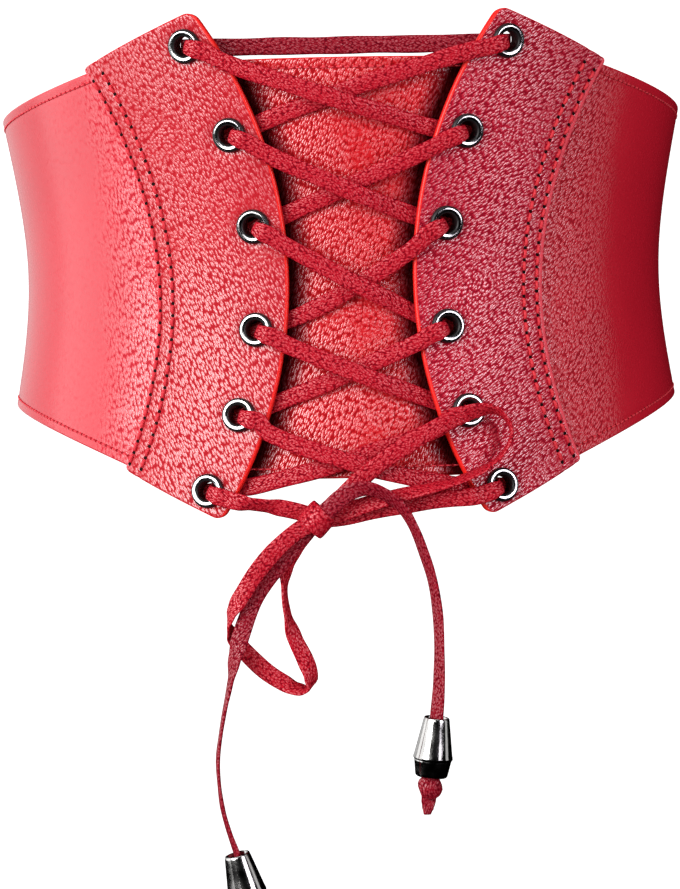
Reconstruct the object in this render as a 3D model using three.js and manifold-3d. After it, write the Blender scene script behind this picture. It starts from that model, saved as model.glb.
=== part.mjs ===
// A lace-up corset belt: two curved front panels laced together over a tongue,
// two side panels that run round the waist, and an elastic back with a plain clasp.
// Lengths are millimetres. +Z is up, the front faces -Y, and left and right are as seen
// from the front. The origin is the centre of the waist, at its narrowest level.
//
// A place on the belt is given by three lengths: its arc round the waist from the front
// centre, its height above the waist, and its lift off the outer face of the side panels.

import * as THREE from 'three';
import { mergeVertices } from 'three/addons/utils/BufferGeometryUtils.js';
import Module from 'manifold-3d';

const wasm = await Module();
wasm.setup();

// The waist and how the wall opens above and below it.
const waistRadius = 105;
const flareSlope = 0.233;
const flareReach = 30;
const frontFlareShare = 0.6;

// Walls and the clearance between pieces that lie on each other.
const clearance = 0.3;
const layerClearance = 0.45;
const sideThickness = 2;
const frontThickness = 2;
const tongueThickness = 2;
const elasticThickness = 1.6;

// Front panels, as cut: both long edges are arcs that bow towards the front centre.
const lacingGap = 36.4;
const innerEdgeRadius = 142;
const innerEdgeLevel = -1;
const panelWaistWidth = 41.7;
const outerEdgeRadius = 137;
const outerEdgeLevel = -8;
const innerTop = 78;
const innerBottom = -72;
const outerTop = 63.4;
const outerBottom = -57.3;
const innerCornerRadius = 3;
const outerCornerRadius = 1.6;

// Side panels: they start under the front panels and narrow towards the back.
const sideUnderlap = 10;
const sideEndArc = 172;
const sideTop = 62.6;
const sideBottom = -56.8;
const sideEndTop = 51.5;
const sideEndBottom = -41.2;
const sideTopTaper = 1.8;
const sideBottomTaper = 2.2;
const sideCornerRadius = 4;

// Elastic back and its clasp.
const elasticUnderlap = 9;
const elasticInset = 2;
const claspWidth = 16;
const claspThickness = 1.6;
const claspSlot = 3;

// Tongue behind the lacing.
const tongueHalfWidth = 36;
const tongueTop = 63.7;
const tongueBottom = -60;
const tongueCornerRadius = 3;

// Eyelets.
const eyeletBore = 2.85;
const eyeletWall = 0.4;
const eyeletRimRadius = 5;
const eyeletRimHeight = 1.6;
const eyeletFootHeight = 0.7;
const eyeletInset = 8.9;

// One row for each pair of eyelets: its height as a share of the front panel's height above
// or below the waist, and how far the laces that leave it hang off the straight line to the
// next pair, in millimetres, on the left and on the right.
const eyeletRows = [
  { heightShare: 0.868, leftSway: -2.7, rightSway: 1.2 },
  { heightShare: 0.533, leftSway: -2.2, rightSway: -0.8 },
  { heightShare: 0.189, leftSway: -1.3, rightSway: -3.6 },
  { heightShare: -0.217, leftSway: -1.2, rightSway: -1.3 },
  { heightShare: -0.565, leftSway: -4.8, rightSway: -3.4 },
  { heightShare: -0.875, leftSway: 0, rightSway: 0 },
];

// The lace is a flat band, squeezed where it goes through an eyelet. Its hidden ends run on
// behind the panels, past the middle of the eyelet that they lead to.
const laceWidth = 5.2;
const laceThickness = 1.2;
const squeezedWidth = 4.0;
const laceEndReach = 3.4;

// Bow knot, bells and the knots at the ends of the lace.
const knotCentre = new THREE.Vector3(-11.6, -113.2, -71.4);
const knotHalfSize = new THREE.Vector3(4.1, 4.3, 4.6);
const knotBandTilt = 0.72;
const bellLength = 17.6;
const bellTopRadius = 3.8;
const bellWidestRadius = 5.9;
const bellWidestShare = 0.69;
const bellBottomRadius = 4.7;
const bellBore = 3.1;
const endKnotLength = 11;
const endKnotRadius = 2.7;

// Free stretches of the lace: places in millimetres chosen along the real bow, with the
// turn of the lace's flat face from the viewer, in degrees.
const bowLoopRightRoute = [
  [-11.6, -114.0, -71.0, 0], [-6.5, -114.3, -67.0, 0], [-1.4, -114.5, -62.2, 0],
  [4.8, -114.4, -57.0, 0], [11.4, -114.0, -52.4, 0], [21.1, -113.0, -46.6, 0],
  [29.5, -112.0, -42.6, 10], [36.0, -110.6, -40.5, 30], [41.0, -109.2, -40.4, 60],
  [44.9, -108.4, -43.2, 80], [46.5, -108.0, -47.2, 90], [45.0, -108.4, -51.6, 90],
  [41.8, -109.6, -55.2, 85], [36.5, -111.2, -58.4, 75], [29.6, -112.4, -60.9, 70],
  [21.7, -112.8, -62.9, 60], [12.9, -112.8, -64.8, 45], [2.0, -112.6, -67.6, 20],
  [-6.3, -112.2, -70.2, 0], [-11.6, -112.1, -71.4, 0],
];
const bowLoopLeftRoute = [
  [-11.6, -115.6, -71.5, 0], [-17.0, -116.6, -74.0, 0], [-23.4, -117.8, -79.0, 0],
  [-29.5, -118.0, -86.0, 0], [-34.2, -117.6, -93.0, 15], [-37.4, -116.2, -98.2, 60],
  [-38.0, -114.2, -102.2, 100], [-36.4, -112.6, -106.5, 150], [-32.1, -112.4, -111.7, 180],
  [-27.5, -112.8, -116.0, 180], [-23.0, -113.2, -119.0, 170], [-18.5, -113.5, -121.3, 130],
  [-15.0, -114.0, -121.2, 90], [-14.3, -114.4, -117.8, 40], [-16.0, -114.5, -112.4, 10],
  [-18.8, -114.5, -106.0, 30], [-20.8, -113.8, -99.0, 70], [-21.6, -112.2, -92.0, 75],
  [-20.8, -111.4, -85.5, 40], [-18.3, -111.8, -79.8, 10], [-15.0, -112.2, -75.5, 0],
  [-11.6, -112.2, -71.8, 0],
];
const laceTailLeftRoute = [
  [-11.6, -113.8, -71.6, 0], [-17.0, -114.2, -77.0, 0], [-22.3, -114.9, -83.4, 0],
  [-26.6, -114.9, -88.4, 0], [-30.0, -115.0, -93.6, 0], [-32.9, -116.2, -100.0, 0],
  [-34.9, -117.8, -105.5, 15], [-36.6, -117.8, -111.5, 45], [-38.0, -117.0, -118.5, 75],
  [-39.8, -116.0, -126.5, 85], [-41.2, -115.4, -134.0, 85], [-42.2, -115.0, -141.5, 85],
  [-42.0, -115.0, -149.0, 85], [-41.1, -115.0, -156.5, 80], [-39.4, -115.0, -163.2, 75],
  [-37.3, -115.0, -169.6, 70], [-36.3, -115.0, -173.6, 65],
];
const laceTailRightRoute = [
  [-11.6, -115.7, -70.7, 0], [-8.0, -116.6, -68.0, 0], [-4.5, -117.2, -64.8, 0],
  [-0.8, -117.4, -62.7, 10], [3.2, -117.4, -62.2, 30], [8.1, -117.2, -63.9, 45],
  [12.8, -117.0, -67.6, 55], [16.5, -116.6, -73.7, 60], [19.6, -116.0, -81.9, 60],
  [21.8, -115.4, -89.5, 60], [23.2, -115.0, -99.0, 60], [23.6, -115.0, -109.0, 60],
  [23.3, -115.0, -120.0, 55], [22.5, -115.0, -129.5, 45], [22.0, -115.0, -134.0, 40],
];
const laceLeft6Route = [
  [-35.0, -110.4, -65.9, 0], [-30.8, -110.6, -66.6, 40], [-26.6, -110.6, -67.2, 40],
  [-21.6, -110.6, -68.1, 10], [-16.5, -110.6, -69.4, 0], [-11.6, -110.6, -71.1, 0],
];
const laceRight6Route = [
  [34.6, -110.6, -65.8, 0], [28.6, -110.4, -66.3, 0], [20.9, -110.2, -67.0, 0],
  [13.0, -110.2, -68.1, 0], [4.1, -110.2, -69.6, 0], [-3.3, -110.3, -71.0, 0],
  [-11.6, -110.6, -71.8, 0],
];
const bellRightTop = new THREE.Vector3(22.5, -115, -130.4);
const bellRightFoot = new THREE.Vector3(20.5, -115, -148);
const bellLeftTop = new THREE.Vector3(-37.3, -115, -169.8);
const bellLeftFoot = new THREE.Vector3(-33.2, -115, -187);

// Lifts of each layer, worked out from the walls.
const frontBackLift = layerClearance;
const frontFaceLift = frontBackLift + frontThickness;
const eyeletFootLift = frontBackLift - layerClearance - eyeletFootHeight;
const underLaceLift = eyeletFootLift - layerClearance - laceThickness / 2;
const tongueFaceLift = underLaceLift - laceThickness / 2 - 0.5;
const rimLaceLift = frontFaceLift + eyeletRimHeight + layerClearance + laceThickness / 2;
const overPanelLift = frontFaceLift + clearance + laceThickness;

const leatherRed = new THREE.Color(0.72, 0.06, 0.09);
const laceRed = new THREE.Color(0.6, 0.05, 0.09);
const gunmetal = new THREE.Color(0.22, 0.22, 0.24);

function leather() {
  return new THREE.MeshStandardMaterial({ color: leatherRed, roughness: 0.55, metalness: 0 });
}

function elasticFabric() {
  return new THREE.MeshStandardMaterial({ color: laceRed, roughness: 0.9, metalness: 0 });
}

function laceBraid() {
  return new THREE.MeshStandardMaterial({ color: laceRed, roughness: 0.75, metalness: 0 });
}

function darkMetal() {
  return new THREE.MeshStandardMaterial({ color: gunmetal, roughness: 0.2, metalness: 1 });
}

function between(start, end, share) {
  return start + (end - start) * share;
}

// How far the wall stands out at a height, on the sides, compared with the waist.
function flareAt(height) {
  return flareSlope * (Math.hypot(height, flareReach) - flareReach);
}

function beltPoint(arc, height, lift) {
  const angle = arc / waistRadius;
  const flareShare = between(frontFlareShare, 1, Math.sin(angle) ** 2);
  const radius = waistRadius + lift + flareShare * flareAt(height);
  return new THREE.Vector3(radius * Math.sin(angle), -radius * Math.cos(angle), height);
}

function beltNormal(arc, height) {
  const step = 0.5;
  const along = beltPoint(arc + step, height, 0).sub(beltPoint(arc - step, height, 0));
  const up = beltPoint(arc, height + step, 0).sub(beltPoint(arc, height - step, 0));
  return along.cross(up).normalize();
}

// Closed meshes to solids and back, for the cuts.
function bareGeometry(geometry) {
  const bare = geometry.index ? geometry.toNonIndexed() : geometry.clone();
  bare.deleteAttribute('normal');
  bare.deleteAttribute('uv');
  return mergeVertices(bare, 1e-4);
}

function toSolid(geometry, matrix = new THREE.Matrix4()) {
  const bare = bareGeometry(geometry).applyMatrix4(matrix);
  const mesh = new wasm.Mesh({
    numProp: 3,
    vertProperties: new Float32Array(bare.attributes.position.array),
    triVerts: new Uint32Array(bare.index.array),
  });
  return new wasm.Manifold(mesh);
}

function toGeometry(solid) {
  const mesh = solid.getMesh();
  const geometry = new THREE.BufferGeometry();
  geometry.setAttribute('position', new THREE.BufferAttribute(mesh.vertProperties, 3));
  geometry.setIndex(new THREE.BufferAttribute(mesh.triVerts, 1));
  geometry.computeVertexNormals();
  return geometry;
}

// Moves a place near a corner of a flat pattern so that the corner becomes an arc.
function roundedCorner(place, corner, alongOne, alongOther, radius) {
  const offset = place.clone().sub(corner);
  const spread = alongOne.cross(alongOther);
  const one = offset.cross(alongOther) / spread;
  const other = alongOne.cross(offset) / spread;
  if (one >= radius || other >= radius) return place;
  const p = 1 - one / radius;
  const q = 1 - other / radius;
  return corner.clone()
    .addScaledVector(alongOne, radius * (1 - p * Math.sqrt(1 - (q * q) / 2)))
    .addScaledVector(alongOther, radius * (1 - q * Math.sqrt(1 - (p * p) / 2)));
}

// A flat pattern given by a function of two shares, with its four corners rounded.
// The radii are for the corners at shares (0,0), (1,0), (0,1) and (1,1).
function roundedPattern(pattern, radii) {
  const reach = 0.05;
  return (across, up) => {
    let place = pattern(across, up);
    radii.forEach((radius, index) => {
      const u = index % 2;
      const v = index < 2 ? 0 : 1;
      if (radius === 0 || Math.abs(across - u) > 0.3 || Math.abs(up - v) > 0.3) return;
      const corner = pattern(u, v);
      const alongOne = pattern(between(u, 1 - u, reach), v).sub(corner).normalize();
      const alongOther = pattern(u, between(v, 1 - v, reach)).sub(corner).normalize();
      place = roundedCorner(place, corner, alongOne, alongOther, radius);
    });
    return place;
  };
}

// A wall of even thickness that follows the belt. The pattern gives the arc and height of
// each place on it, and the shares say where its rows and columns of facets lie.
function beltWall(side, pattern, innerLift, outerLift, acrossShares, upShares) {
  const box = new THREE.BoxGeometry(1, 1, 1, acrossShares.length - 1, upShares.length - 1, 1);
  const geometry = bareGeometry(box);
  const position = geometry.attributes.position;
  for (let i = 0; i < position.count; i += 1) {
    const column = Math.round((position.getX(i) + 0.5) * (acrossShares.length - 1));
    const row = Math.round((position.getY(i) + 0.5) * (upShares.length - 1));
    const across = acrossShares[side > 0 ? column : acrossShares.length - 1 - column];
    const place = pattern(across, upShares[row]);
    const lift = position.getZ(i) > 0 ? outerLift : innerLift;
    const point = beltPoint(side * place.x, place.y, lift);
    position.setXYZ(i, point.x, point.y, point.z);
  }
  return geometry;
}

// Shares with two close steps at each end, so that rounded corners are round.
function cornerShares(count, endStep) {
  const shares = [0, endStep / 2, endStep];
  for (let i = 1; i < count; i += 1) shares.push(between(endStep, 1 - endStep, i / count));
  shares.push(1 - endStep, 1 - endStep / 2, 1);
  return shares;
}

// Front panels.
function innerEdgeArc(height) {
  const offset = height - innerEdgeLevel;
  return lacingGap / 2 + innerEdgeRadius - Math.sqrt(innerEdgeRadius ** 2 - offset ** 2);
}

function outerEdgeArc(height) {
  const offset = height - outerEdgeLevel;
  const bow = outerEdgeRadius - Math.sqrt(outerEdgeRadius ** 2 - offset ** 2);
  return lacingGap / 2 + panelWaistWidth + bow;
}

function frontPattern(across, up) {
  const innerHeight = between(innerBottom, innerTop, up);
  const outerHeight = between(outerBottom, outerTop, up);
  return new THREE.Vector2(
    between(innerEdgeArc(innerHeight), outerEdgeArc(outerHeight), across),
    between(innerHeight, outerHeight, across),
  );
}

function eyeletPlace(side, row) {
  const share = eyeletRows[row].heightShare;
  const height = share > 0 ? share * innerTop : -share * innerBottom;
  return new THREE.Vector2(side * (innerEdgeArc(height) + eyeletInset), height);
}

function makeFrontPanel(side) {
  const radii = [innerCornerRadius, outerCornerRadius, innerCornerRadius, outerCornerRadius];
  const wall = beltWall(
    side,
    roundedPattern(frontPattern, radii),
    frontBackLift,
    frontFaceLift,
    cornerShares(4, innerCornerRadius / panelWaistWidth),
    cornerShares(8, innerCornerRadius / (innerTop - innerBottom)),
  );
  let panel = toSolid(wall);
  const holeRadius = eyeletBore + eyeletWall + clearance;
  const drill = new THREE.CylinderGeometry(holeRadius, holeRadius, frontThickness * 4, 10);
  eyeletRows.forEach((_, row) => {
    const place = eyeletPlace(side, row);
    const centre = beltPoint(place.x, place.y, between(frontBackLift, frontFaceLift, 0.5));
    const turn = new THREE.Quaternion().setFromUnitVectors(
      THREE.Object3D.DEFAULT_UP,
      beltNormal(place.x, place.y),
    );
    const matrix = new THREE.Matrix4().compose(centre, turn, new THREE.Vector3(1, 1, 1));
    panel = panel.subtract(toSolid(drill, matrix));
  });
  return toGeometry(panel);
}

// Side panels.
function taperedHeight(arc, start, end, taper) {
  const startArc = outerEdgeArc(start);
  const share = THREE.MathUtils.clamp((arc - startArc) / (sideEndArc - startArc), 0, 1);
  return between(end, start, (1 - share) ** taper);
}

function sidePattern(across, up) {
  const startHeight = between(sideBottom, sideTop, up);
  const arc = between(outerEdgeArc(startHeight) - sideUnderlap, sideEndArc, across);
  const top = taperedHeight(arc, sideTop, sideEndTop, sideTopTaper);
  const bottom = taperedHeight(arc, sideBottom, sideEndBottom, sideBottomTaper);
  return new THREE.Vector2(arc, between(bottom, top, up));
}

function makeSidePanel(side) {
  const pattern = roundedPattern(sidePattern, [0, sideCornerRadius, 0, sideCornerRadius]);
  return beltWall(
    side,
    pattern,
    -sideThickness,
    0,
    cornerShares(8, sideCornerRadius / (sideEndArc - panelWaistWidth)),
    cornerShares(7, sideCornerRadius / (sideEndTop - sideEndBottom)),
  );
}

// Elastic back, one half on each side of the clasp.
function elasticPattern(across, up) {
  const endArc = Math.PI * waistRadius - claspSlot;
  const arc = between(sideEndArc - elasticUnderlap, endArc, across);
  return new THREE.Vector2(
    arc,
    between(sideEndBottom + elasticInset, sideEndTop - elasticInset, up),
  );
}

function evenShares(count) {
  return Array.from({ length: count + 1 }, (_, i) => i / count);
}

function makeElastic(side) {
  const outerLift = -sideThickness - layerClearance;
  const innerLift = outerLift - elasticThickness;
  return beltWall(side, elasticPattern, innerLift, outerLift, evenShares(10), evenShares(8));
}

function claspPattern(across, up) {
  const backArc = Math.PI * waistRadius;
  return new THREE.Vector2(
    between(backArc - claspWidth / 2, backArc + claspWidth / 2, across),
    between(sideEndBottom, sideEndTop, up),
  );
}

function makeClasp() {
  const innerLift = -sideThickness;
  const outerLift = innerLift + claspThickness;
  return beltWall(1, claspPattern, innerLift, outerLift, evenShares(3), evenShares(6));
}

// Tongue.
function tonguePattern(across, up) {
  return new THREE.Vector2(
    between(-tongueHalfWidth, tongueHalfWidth, across),
    between(tongueBottom, tongueTop, up),
  );
}

function makeTongue() {
  const radius = tongueCornerRadius;
  return beltWall(
    1,
    roundedPattern(tonguePattern, [radius, radius, radius, radius]),
    tongueFaceLift - tongueThickness,
    tongueFaceLift,
    cornerShares(5, radius / (2 * tongueHalfWidth)),
    cornerShares(5, radius / (tongueTop - tongueBottom)),
  );
}

// Eyelets: a barrel through the panel with a rolled rim on its face and a flange behind.
// The profile is radius and height above the panel's face.
function makeEyelet() {
  const barrel = eyeletBore + eyeletWall;
  const seat = layerClearance;
  const back = -frontThickness - layerClearance;
  const foot = eyeletFootLift - frontFaceLift;
  const profile = [
    [eyeletBore, foot],
    [eyeletRimRadius - 0.5, foot],
    [eyeletRimRadius - 0.5, back],
    [barrel, back],
    [barrel, seat],
    [eyeletRimRadius, seat],
    [between(barrel, eyeletRimRadius, 0.5), eyeletRimHeight],
    [eyeletBore, eyeletRimHeight - 0.35],
    [eyeletBore, foot],
  ];
  return new THREE.LatheGeometry(profile.map(([r, h]) => new THREE.Vector2(r, h)), 10);
}

// A flat braid swept along rows of places, each with the direction its flat face looks in
// and its width. The rows are closest where the lace bends most.
class LaceRoute extends THREE.CatmullRomCurve3 {
  constructor(rows) {
    super(rows.map((row) => row.point), false, 'centripetal');
    this.rows = rows;
  }

  getSpacedPoints(divisions) {
    return this.getPoints(divisions);
  }

  computeFrenetFrames(divisions) {
    const frames = { tangents: [], normals: [], binormals: [] };
    for (let i = 0; i <= divisions; i += 1) {
      const place = (i / divisions) * (this.rows.length - 1);
      const index = Math.min(Math.floor(place), this.rows.length - 2);
      const first = this.rows[index];
      const next = this.rows[index + 1];
      const tangent = this.getTangent(i / divisions);
      const face = first.face.clone().lerp(next.face, place - index);
      face.addScaledVector(tangent, -face.dot(tangent)).normalize();
      const width = between(first.width, next.width, place - index) / laceWidth;
      frames.tangents.push(tangent);
      frames.normals.push(face);
      frames.binormals.push(tangent.clone().cross(face).multiplyScalar(width));
    }
    return frames;
  }
}

function laceSection() {
  const halfThickness = laceThickness / 2;
  const halfWidth = laceWidth / 2;
  const shoulder = halfWidth * 0.75;
  const lip = halfThickness * 0.45;
  return new THREE.Shape([
    new THREE.Vector2(halfThickness, -shoulder),
    new THREE.Vector2(halfThickness, shoulder),
    new THREE.Vector2(lip, halfWidth),
    new THREE.Vector2(-lip, halfWidth),
    new THREE.Vector2(-halfThickness, shoulder),
    new THREE.Vector2(-halfThickness, -shoulder),
    new THREE.Vector2(-lip, -halfWidth),
    new THREE.Vector2(lip, -halfWidth),
  ]);
}

function makeLace(rows, steps) {
  const route = new LaceRoute(rows);
  return new THREE.ExtrudeGeometry(laceSection(), { steps, extrudePath: route });
}

// Rows of a free stretch: the flat face starts towards the viewer and turns about the lace.
function freeRows(route) {
  const curve = new THREE.CatmullRomCurve3(
    route.map(([x, y, z]) => new THREE.Vector3(x, y, z)),
    false,
    'centripetal',
  );
  return route.map(([x, y, z, turn], index) => {
    const tangent = curve.getTangent(index / (route.length - 1));
    const face = new THREE.Vector3(0, -1, 0);
    face.addScaledVector(tangent, -face.dot(tangent)).normalize();
    face.applyAxisAngle(tangent, THREE.MathUtils.degToRad(turn));
    return { point: new THREE.Vector3(x, y, z), face, width: laceWidth };
  });
}

// A place on the way from one eyelet towards another, both given as arc and height.
function rowOnTheWay(start, heading, distance, lift, sway, faceTowards, width) {
  const place = start.clone().addScaledVector(heading, distance);
  return {
    point: beltPoint(place.x, place.y + sway, lift),
    face: faceTowards ?? beltNormal(place.x, place.y),
    width,
  };
}

// The lace comes up through an eyelet's bore, bends over its rim and lies on the panel.
function eyeletExitRows(start, heading) {
  const ahead = start.clone().addScaledVector(heading, 1);
  const away = beltPoint(start.x, start.y, 0).sub(beltPoint(ahead.x, ahead.y, 0)).normalize();
  const over = away.clone().add(beltNormal(start.x, start.y)).normalize();
  const boreOffset = 0.5;
  return [
    rowOnTheWay(start, heading, boreOffset, eyeletFootLift, 0, away, squeezedWidth),
    rowOnTheWay(start, heading, boreOffset, frontFaceLift, 0, away, squeezedWidth),
    rowOnTheWay(start, heading, boreOffset + 0.7, rimLaceLift - 0.7, 0, over, squeezedWidth),
    rowOnTheWay(start, heading, 3.8, rimLaceLift, 0, null, laceWidth),
    rowOnTheWay(start, heading, eyeletRimRadius + 1.6, rimLaceLift - 0.6, 0, null, laceWidth),
  ];
}

// Distance from an eyelet, along the lace, to where it crosses the panel's inner edge.
function distanceToEdge(start, heading) {
  let distance = eyeletInset;
  for (let i = 0; i < 6; i += 1) {
    const height = start.y + heading.y * distance;
    distance = (Math.abs(start.x) - innerEdgeArc(height)) / Math.abs(heading.x);
  }
  return distance;
}

// One crossing: out of its eyelet, over its panel's edge, across the tongue, and in under
// the other panel to the back of the next eyelet. The left lace lies over the right one.
function makeCrossing(side, row) {
  const start = eyeletPlace(side, row);
  const end = eyeletPlace(-side, row + 1);
  const length = start.distanceTo(end);
  const heading = end.clone().sub(start).normalize();
  const over = side < 0;
  const sway = over ? eyeletRows[row].leftSway : eyeletRows[row].rightSway;
  const nearEdge = distanceToEdge(start, heading);
  const farEdge = length - distanceToEdge(end, heading.clone().negate());
  const middle = between(nearEdge, farEdge, 0.5);
  const crossingReach = 7;
  const stops = [
    [nearEdge, overPanelLift, 0.45],
    [middle - crossingReach, over ? 2.6 : -0.1, 0.95],
    [middle + crossingReach, over ? 1.7 : -1.2, 1],
    [farEdge - 1.5, underLaceLift + clearance, 0.7],
    [farEdge + 3, underLaceLift, 0.45],
    [length + laceEndReach, underLaceLift, 0],
  ];
  const rows = eyeletExitRows(start, heading).concat(
    stops.map(([distance, lift, swayShare]) => (
      rowOnTheWay(start, heading, distance, lift, sway * swayShare, null, laceWidth)
    )),
  );
  return makeLace(rows, rows.length - 1);
}

// The straight stretch behind the panels that joins the two top eyelets.
function makeLaceBar() {
  const rows = [-1, 0, 1].map((position) => {
    const place = eyeletPlace(1, 0);
    const end = beltPoint(place.x + laceEndReach, place.y, underLaceLift - clearance);
    return {
      point: new THREE.Vector3(position * end.x, end.y, end.z),
      face: new THREE.Vector3(0, -1, 0),
      width: laceWidth,
    };
  });
  return makeLace(rows, 4);
}

// A rounded solid about the knot's centre, larger than the knot by a margin all round.
function knotBody(margin) {
  const halfSize = knotHalfSize.clone().addScalar(margin);
  const matrix = new THREE.Matrix4().compose(knotCentre, new THREE.Quaternion(), halfSize);
  return toSolid(new THREE.SphereGeometry(1, 10, 6), matrix);
}

// Free lace ends stop just clear of the knot.
function clearOfKnot(geometry) {
  return toGeometry(toSolid(geometry).subtract(knotBody(clearance)));
}

// The sixth lace on each side: from the lowest eyelet over the panel's corner to the knot.
function makeLowestLace(side, route) {
  const start = eyeletPlace(side, eyeletRows.length - 1);
  const heading = new THREE.Vector2(-side, -0.35).normalize();
  const rows = eyeletExitRows(start, heading).concat(freeRows(route));
  return clearOfKnot(makeLace(rows, rows.length - 1));
}

// The bow knot: a rounded core with one turn of lace across it.
function makeKnot() {
  const turnSteps = 8;
  const rows = [];
  for (let i = 0; i < turnSteps; i += 1) {
    const out = new THREE.Vector3(0, -1, 0);
    out.applyAxisAngle(new THREE.Vector3(0, 0, 1), ((i - turnSteps / 2) / turnSteps) * 2 * Math.PI);
    out.applyAxisAngle(new THREE.Vector3(0, 1, 0), knotBandTilt);
    const point = out.clone().multiply(knotHalfSize).multiplyScalar(0.86).add(knotCentre);
    rows.push({ point, face: out, width: laceWidth });
  }
  const core = knotBody(-laceThickness / 2);
  const band = toSolid(makeLace(rows, turnSteps));
  return toGeometry(core.add(band).intersect(knotBody(0)));
}

// Bells: turned cones with a bore that the lace enters, narrowing again at the foot.
function makeBell(top, foot) {
  const widest = -bellLength * bellWidestShare;
  const profile = [
    [bellBore, 0],
    [bellTopRadius, 0],
    [bellWidestRadius, widest],
    [bellWidestRadius - 0.3, widest - 0.4],
    [bellBottomRadius, -bellLength],
    [bellBore, -bellLength],
    [bellBore, 0],
  ];
  const points = profile.map(([r, h]) => new THREE.Vector2(r, h)).reverse();
  const mesh = new THREE.Mesh(new THREE.LatheGeometry(points, 16), darkMetal());
  mesh.position.copy(top);
  const up = top.clone().sub(foot).normalize();
  mesh.quaternion.setFromUnitVectors(THREE.Object3D.DEFAULT_UP, up);
  return mesh;
}

// The knot under each bell: a wrapped lump with the cut end of the lace below it.
function makeEndKnot(top, foot) {
  const lift = bellBore * 0.5;
  const profile = [
    [0, lift],
    [bellBore * 0.55, lift],
    [endKnotRadius, -endKnotLength * 0.2],
    [endKnotRadius, -endKnotLength * 0.42],
    [endKnotRadius * 0.62, -endKnotLength * 0.6],
    [endKnotRadius * 0.8, -endKnotLength * 0.8],
    [endKnotRadius * 0.4, -endKnotLength],
    [0, -endKnotLength],
  ];
  const points = profile.map(([r, h]) => new THREE.Vector2(r, h)).reverse();
  const mesh = new THREE.Mesh(new THREE.LatheGeometry(points, 10), laceBraid());
  mesh.position.copy(foot);
  const up = top.clone().sub(foot).normalize();
  mesh.quaternion.setFromUnitVectors(THREE.Object3D.DEFAULT_UP, up);
  return mesh;
}

const belt = new THREE.Group();

function addPiece(name, geometry, material) {
  const mesh = new THREE.Mesh(geometry, material);
  mesh.name = name;
  belt.add(mesh);
  return mesh;
}

const sides = [{ name: 'left', side: -1 }, { name: 'right', side: 1 }];

sides.forEach(({ name, side }) => {
  addPiece(`front_panel_${name}`, makeFrontPanel(side), leather());
  addPiece(`side_panel_${name}`, makeSidePanel(side), leather());
  addPiece(`elastic_${name}`, makeElastic(side), elasticFabric());
  eyeletRows.forEach((_, row) => {
    const place = eyeletPlace(side, row);
    const eyelet = addPiece(`eyelet_${name}_${row + 1}`, makeEyelet(), darkMetal());
    eyelet.position.copy(beltPoint(place.x, place.y, frontFaceLift));
    eyelet.quaternion.setFromUnitVectors(
      THREE.Object3D.DEFAULT_UP,
      beltNormal(place.x, place.y),
    );
    const last = row === eyeletRows.length - 1;
    if (!last) addPiece(`lace_${name}_${row + 1}`, makeCrossing(side, row), laceBraid());
  });
});

addPiece('back_clasp', makeClasp(), darkMetal());
addPiece('tongue', makeTongue(), leather());
addPiece('lace_bar', makeLaceBar(), laceBraid());
addPiece('lace_left_6', makeLowestLace(-1, laceLeft6Route), laceBraid());
addPiece('lace_right_6', makeLowestLace(1, laceRight6Route), laceBraid());
addPiece('bow_knot', makeKnot(), laceBraid());

[
  ['bow_loop_left', bowLoopLeftRoute, 32],
  ['bow_loop_right', bowLoopRightRoute, 28],
  ['lace_tail_left', laceTailLeftRoute, 22],
  ['lace_tail_right', laceTailRightRoute, 20],
].forEach(([name, route, steps]) => {
  addPiece(name, clearOfKnot(makeLace(freeRows(route), steps)), laceBraid());
});

[
  ['left', bellLeftTop, bellLeftFoot],
  ['right', bellRightTop, bellRightFoot],
].forEach(([name, top, foot]) => {
  const bell = makeBell(top, foot);
  bell.name = `bell_${name}`;
  const endKnot = makeEndKnot(top, foot);
  endKnot.name = `end_knot_${name}`;
  belt.add(bell, endKnot);
});

export default belt;
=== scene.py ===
# %% [markdown]
# # A lace-up corset belt in red leather
# This lesson dresses the plain solids of a corset belt with real leather, lace and metal.
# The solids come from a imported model, and every new piece sits exactly where its solid is,
# so we keep one set of sizes for both. Blender works in metres, and a belt is easier to
# think about in millimetres, so one small constant turns the one into the other.

# %% Load the belt's solids
from math import cos, degrees, pi, radians, sin, sqrt
import bmesh
import bpy
import numpy as np
from mathutils import Matrix, Vector
from numpy.linalg import norm


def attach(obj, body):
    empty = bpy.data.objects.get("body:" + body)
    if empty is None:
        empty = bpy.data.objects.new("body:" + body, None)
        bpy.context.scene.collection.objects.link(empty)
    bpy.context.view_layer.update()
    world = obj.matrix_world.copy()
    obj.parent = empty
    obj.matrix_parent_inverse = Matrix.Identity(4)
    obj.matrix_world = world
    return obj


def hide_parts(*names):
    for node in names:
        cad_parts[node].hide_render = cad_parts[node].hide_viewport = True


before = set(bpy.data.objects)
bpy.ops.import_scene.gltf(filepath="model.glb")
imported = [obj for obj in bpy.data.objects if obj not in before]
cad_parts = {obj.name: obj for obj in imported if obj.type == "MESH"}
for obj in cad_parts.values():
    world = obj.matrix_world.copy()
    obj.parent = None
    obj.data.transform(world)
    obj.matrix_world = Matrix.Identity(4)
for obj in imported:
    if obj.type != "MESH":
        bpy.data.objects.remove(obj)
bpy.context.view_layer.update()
mm = 0.001
sides = {"left": -1, "right": 1}
print("solids:", len(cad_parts))

# %% [markdown]
# ## The camera
# The belt was seen from about three quarters of a metre in front, a little to the left and
# level with the waist. A long lens keeps the sides from bulging. We build the camera's
# axes by hand, because the view is also rolled by about one degree.

# %% Place the camera
camera_at = Vector((-18.0, -858.0, 4.0)) * mm
looks_at = Vector((-4.3, -108.0, -49.8)) * mm
roll = radians(1.15)

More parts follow.
